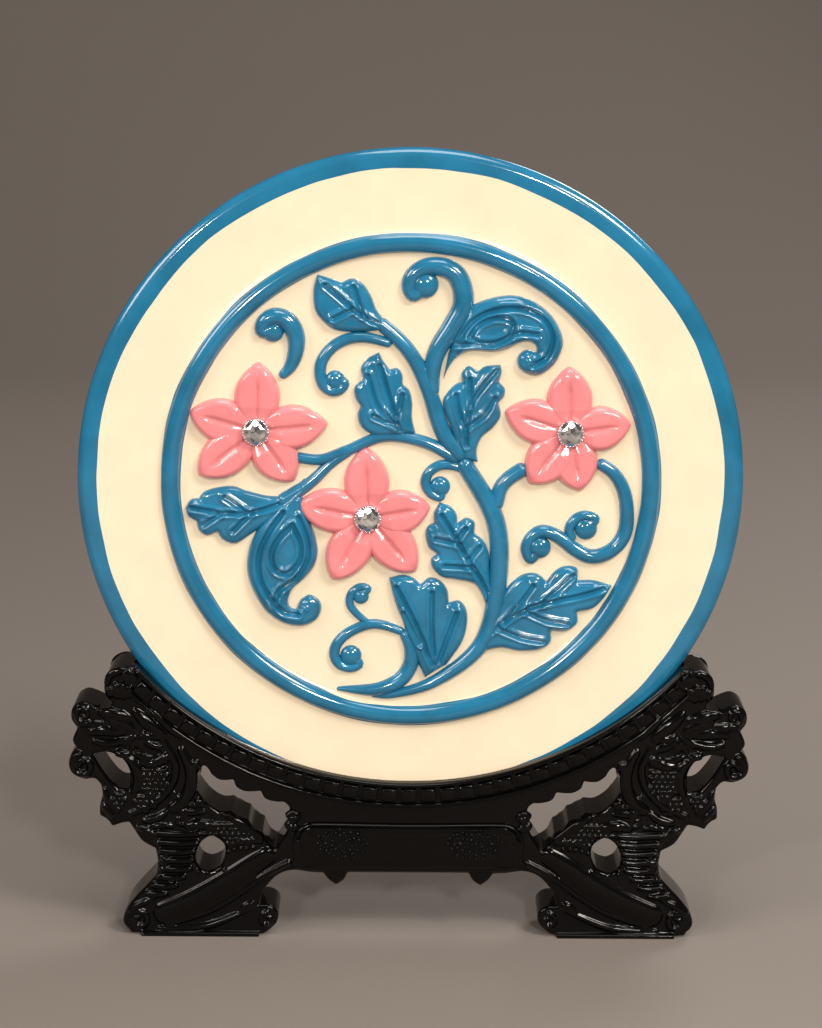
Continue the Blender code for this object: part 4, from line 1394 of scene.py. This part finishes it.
class STAND_OT_panel(bpy.types.Operator):
    """Lays the raised panel between the legs, its moulding, its grainy patches and the corner clouds"""

    bl_idname = "display_plate.stand_panel"
    bl_label = "Stand panel"

    def execute(self, context):
        finish = black_plastic(context.scene.stand_look)
        shells = Shells()
        outline = mirror_runs(PANEL_OUTLINE)

        def panel(points, gap):
            level = 0.95 * dome(gap / 1.3) - 0.25 * np.exp(-(((gap - 2.4) / 0.5) ** 2))
            return np.where(gap <= 0, -SUNK, level)

        relief(shells, outline, panel, 0.9)
        for side in (-1, 1):
            cloud = run_outline(CLOUD_OUTLINE, 0.4) * (side, 1)

            def puff(points, gap, side=side):
                coil = np.hypot(points[:, 0] - side * CLOUD_COIL[0], points[:, 1] - CLOUD_COIL[1])
                level = 1.7 * dome(gap / 1.4) * (1 - 0.3 * np.exp(-(((coil - 1.9) / 0.45) ** 2)))
                return np.where(gap <= 0, -SUNK, level)

            relief(shells, cloud, puff, 0.45)
        pieces = shells.build("panel", UNIT, FRONT_FRAME, finish)
        keep_piece(pieces, None)
        shells = Shells()
        section = round_section(8)
        moulding = smooth_line(PANEL_MOULDING, 0.6)
        stroke(shells, moulding, np.full(len(moulding), MOULDING_HALF_WIDTH), 2.3, section)
        for side in (-1, 1):
            for place, radius in grainy((side * GRAIN_PLACE[0], GRAIN_PLACE[1]), GRAIN_REACH, 7 + side):
                bead(shells, place, radius, 1.1 + radius * 0.72)
        rails = shells.build("panel_moulding", UNIT, FRONT_FRAME, finish)
        keep_piece(rails, None)
        return {"FINISHED"}


class STAND_OT_ledge(bpy.types.Operator):
    """Lays the ledge's rims, bead and row of blocks"""

    bl_idname = "display_plate.stand_ledge"
    bl_label = "Stand ledge"

    def execute(self, context):
        finish = black_plastic(context.scene.stand_look)
        shells = Shells()
        section = round_section(8)
        angles = np.linspace(-LEDGE_SPREAD, LEDGE_SPREAD, LEDGE_STEPS)
        for drop, half_width, rise in LEDGE_RAILS:
            radius = (LEDGE_RADIUS + drop) / MM
            path = np.column_stack([radius * np.sin(angles), LEDGE_CENTER / MM - radius * np.cos(angles)])
            stroke(shells, path, np.full(LEDGE_STEPS, half_width), rise, section)
        rails = shells.build("ledge_rails", MM, FRONT_FRAME, finish)
        keep_piece(rails, None)
        middle = LEDGE_RADIUS + BLOCK_DROP
        count = int(LEDGE_SPREAD * middle / BLOCK_PITCH)
        made = bmesh.new()
        for i in range(-count, count + 1):
            angle = i * BLOCK_PITCH / middle
            across, up = middle * math.sin(angle), LEDGE_CENTER - middle * math.cos(angle)
            place = Matrix.Translation((across, up, BLOCK_CENTER_OUT)) @ Matrix.Rotation(angle, 4, "Z")
            place = FRONT_FRAME @ place @ Matrix.Diagonal((*BLOCK_SIZE, 1))
            bmesh.ops.create_cube(made, size=1, matrix=place)
        bmesh.ops.bevel(
            made, geom=list(made.edges), offset=BLOCK_SOFT, segments=2, profile=0.5, affect="EDGES",
        )
        mesh = finished_mesh("ledge_blocks", made)
        mesh.shade_smooth()
        mesh.materials.append(finish)
        blocks = add_object("ledge_blocks", mesh)
        keep_piece(blocks, None)
        return {"FINISHED"}


class STAGE_OT_studio(bpy.types.Operator):
    """Sets the floor, the soft lights and the camera"""

    bl_idname = "display_plate.studio"
    bl_label = "Studio"

    def execute(self, context):
        look = context.scene.stage_look
        floor_mesh = bpy.data.meshes.new("floor")
        profile = [(-3.0, 0.0), (1.2, 0.0)]
        for i in range(1, 13):
            angle = math.radians(90 * i / 12)
            profile.append((1.2 + 0.8 * math.sin(angle), 0.8 - 0.8 * math.cos(angle)))
        profile.append((2.0, 4.0))
        verts = [(x, y, z) for y, z in profile for x in (-4, 4)]
        faces = [(2 * i, 2 * i + 1, 2 * i + 3, 2 * i + 2) for i in range(len(profile) - 1)]
        floor_mesh.from_pydata(verts, [], faces)
        floor_mesh.shade_smooth()
        paper = Finish("studio_paper", look.floor, 0.7)
        tint = paper.ramp(paper.noise(3), ((0.3, shade(look.floor, 0.98)), (0.7, look.floor)))
        paper.feed(tint, "Base Color")
        floor_mesh.materials.append(paper.material)
        floor = add_object("floor", floor_mesh)
        for name, place, aim, size, power, color in LIGHTS:
            light = bpy.data.lights.new(name, "AREA")
            light.size = size
            light.energy = power
            light.color = color
            lamp = add_object(name, light)
            lamp.location = place
            lamp.rotation_euler = (Vector(aim) - Vector(place)).to_track_quat("-Z", "Y").to_euler()
        world = bpy.data.worlds.new("studio")
        context.scene.world = world
        world.use_nodes = True
        sky = world.node_tree.nodes["Background"].inputs
        sky["Color"].default_value = SKY_COLOR
        sky["Strength"].default_value = SKY_STRENGTH
        camera = bpy.data.cameras.new("camera")
        camera.lens = look.lens
        camera.sensor_width = 36
        camera.clip_start = 0.01
        aim = Matrix.Rotation(math.pi / 2 - CAMERA_PITCH, 4, "X") @ Matrix.Rotation(CAMERA_ROLL, 4, "Z")
        context.scene.camera = add_object("camera", camera, Matrix.Translation(CAMERA_PLACE) @ aim)
        context.scene.view_settings.view_transform = "Standard"
        return {"FINISHED"}


class VIEW3D_PT_display_plate(bpy.types.Panel):
    """Lists the steps that dress the plate and its stand"""

    bl_label = "Display Plate"
    bl_category = "Display Plate"
    bl_space_type = "VIEW_3D"
    bl_region_type = "UI"

    def draw(self, context):
        for look in ("plate_look", "stone_look", "stand_look", "stage_look"):
            group = getattr(context.scene, look)
            for name in group.__annotations__:
                self.layout.prop(group, name)
        for step in STEPS:
            self.layout.operator(step.bl_idname)


LOOKS = {"plate_look": PlateLook, "stone_look": StoneLook, "stand_look": StandLook, "stage_look": StageLook}
STEPS = (
    PLATE_OT_body, PLATE_OT_vines, PLATE_OT_leaves, PLATE_OT_paisleys, PLATE_OT_flowers, PLATE_OT_stones,
    STAND_OT_carving, STAND_OT_panel, STAND_OT_ledge, STAGE_OT_studio,
)
CLASSES = (*LOOKS.values(), *STEPS, VIEW3D_PT_display_plate)


def register():
    for item in CLASSES:
        bpy.utils.register_class(item)
    for name, group in LOOKS.items():
        setattr(bpy.types.Scene, name, PointerProperty(type=group))


def unregister():
    for name in LOOKS:
        delattr(bpy.types.Scene, name)
    for item in reversed(CLASSES):
        bpy.utils.unregister_class(item)


def main():
    register()
    for step in STEPS:
        group, name = step.bl_idname.split(".")
        getattr(getattr(bpy.ops, group), name)()


if __name__ == "__main__":
    main()
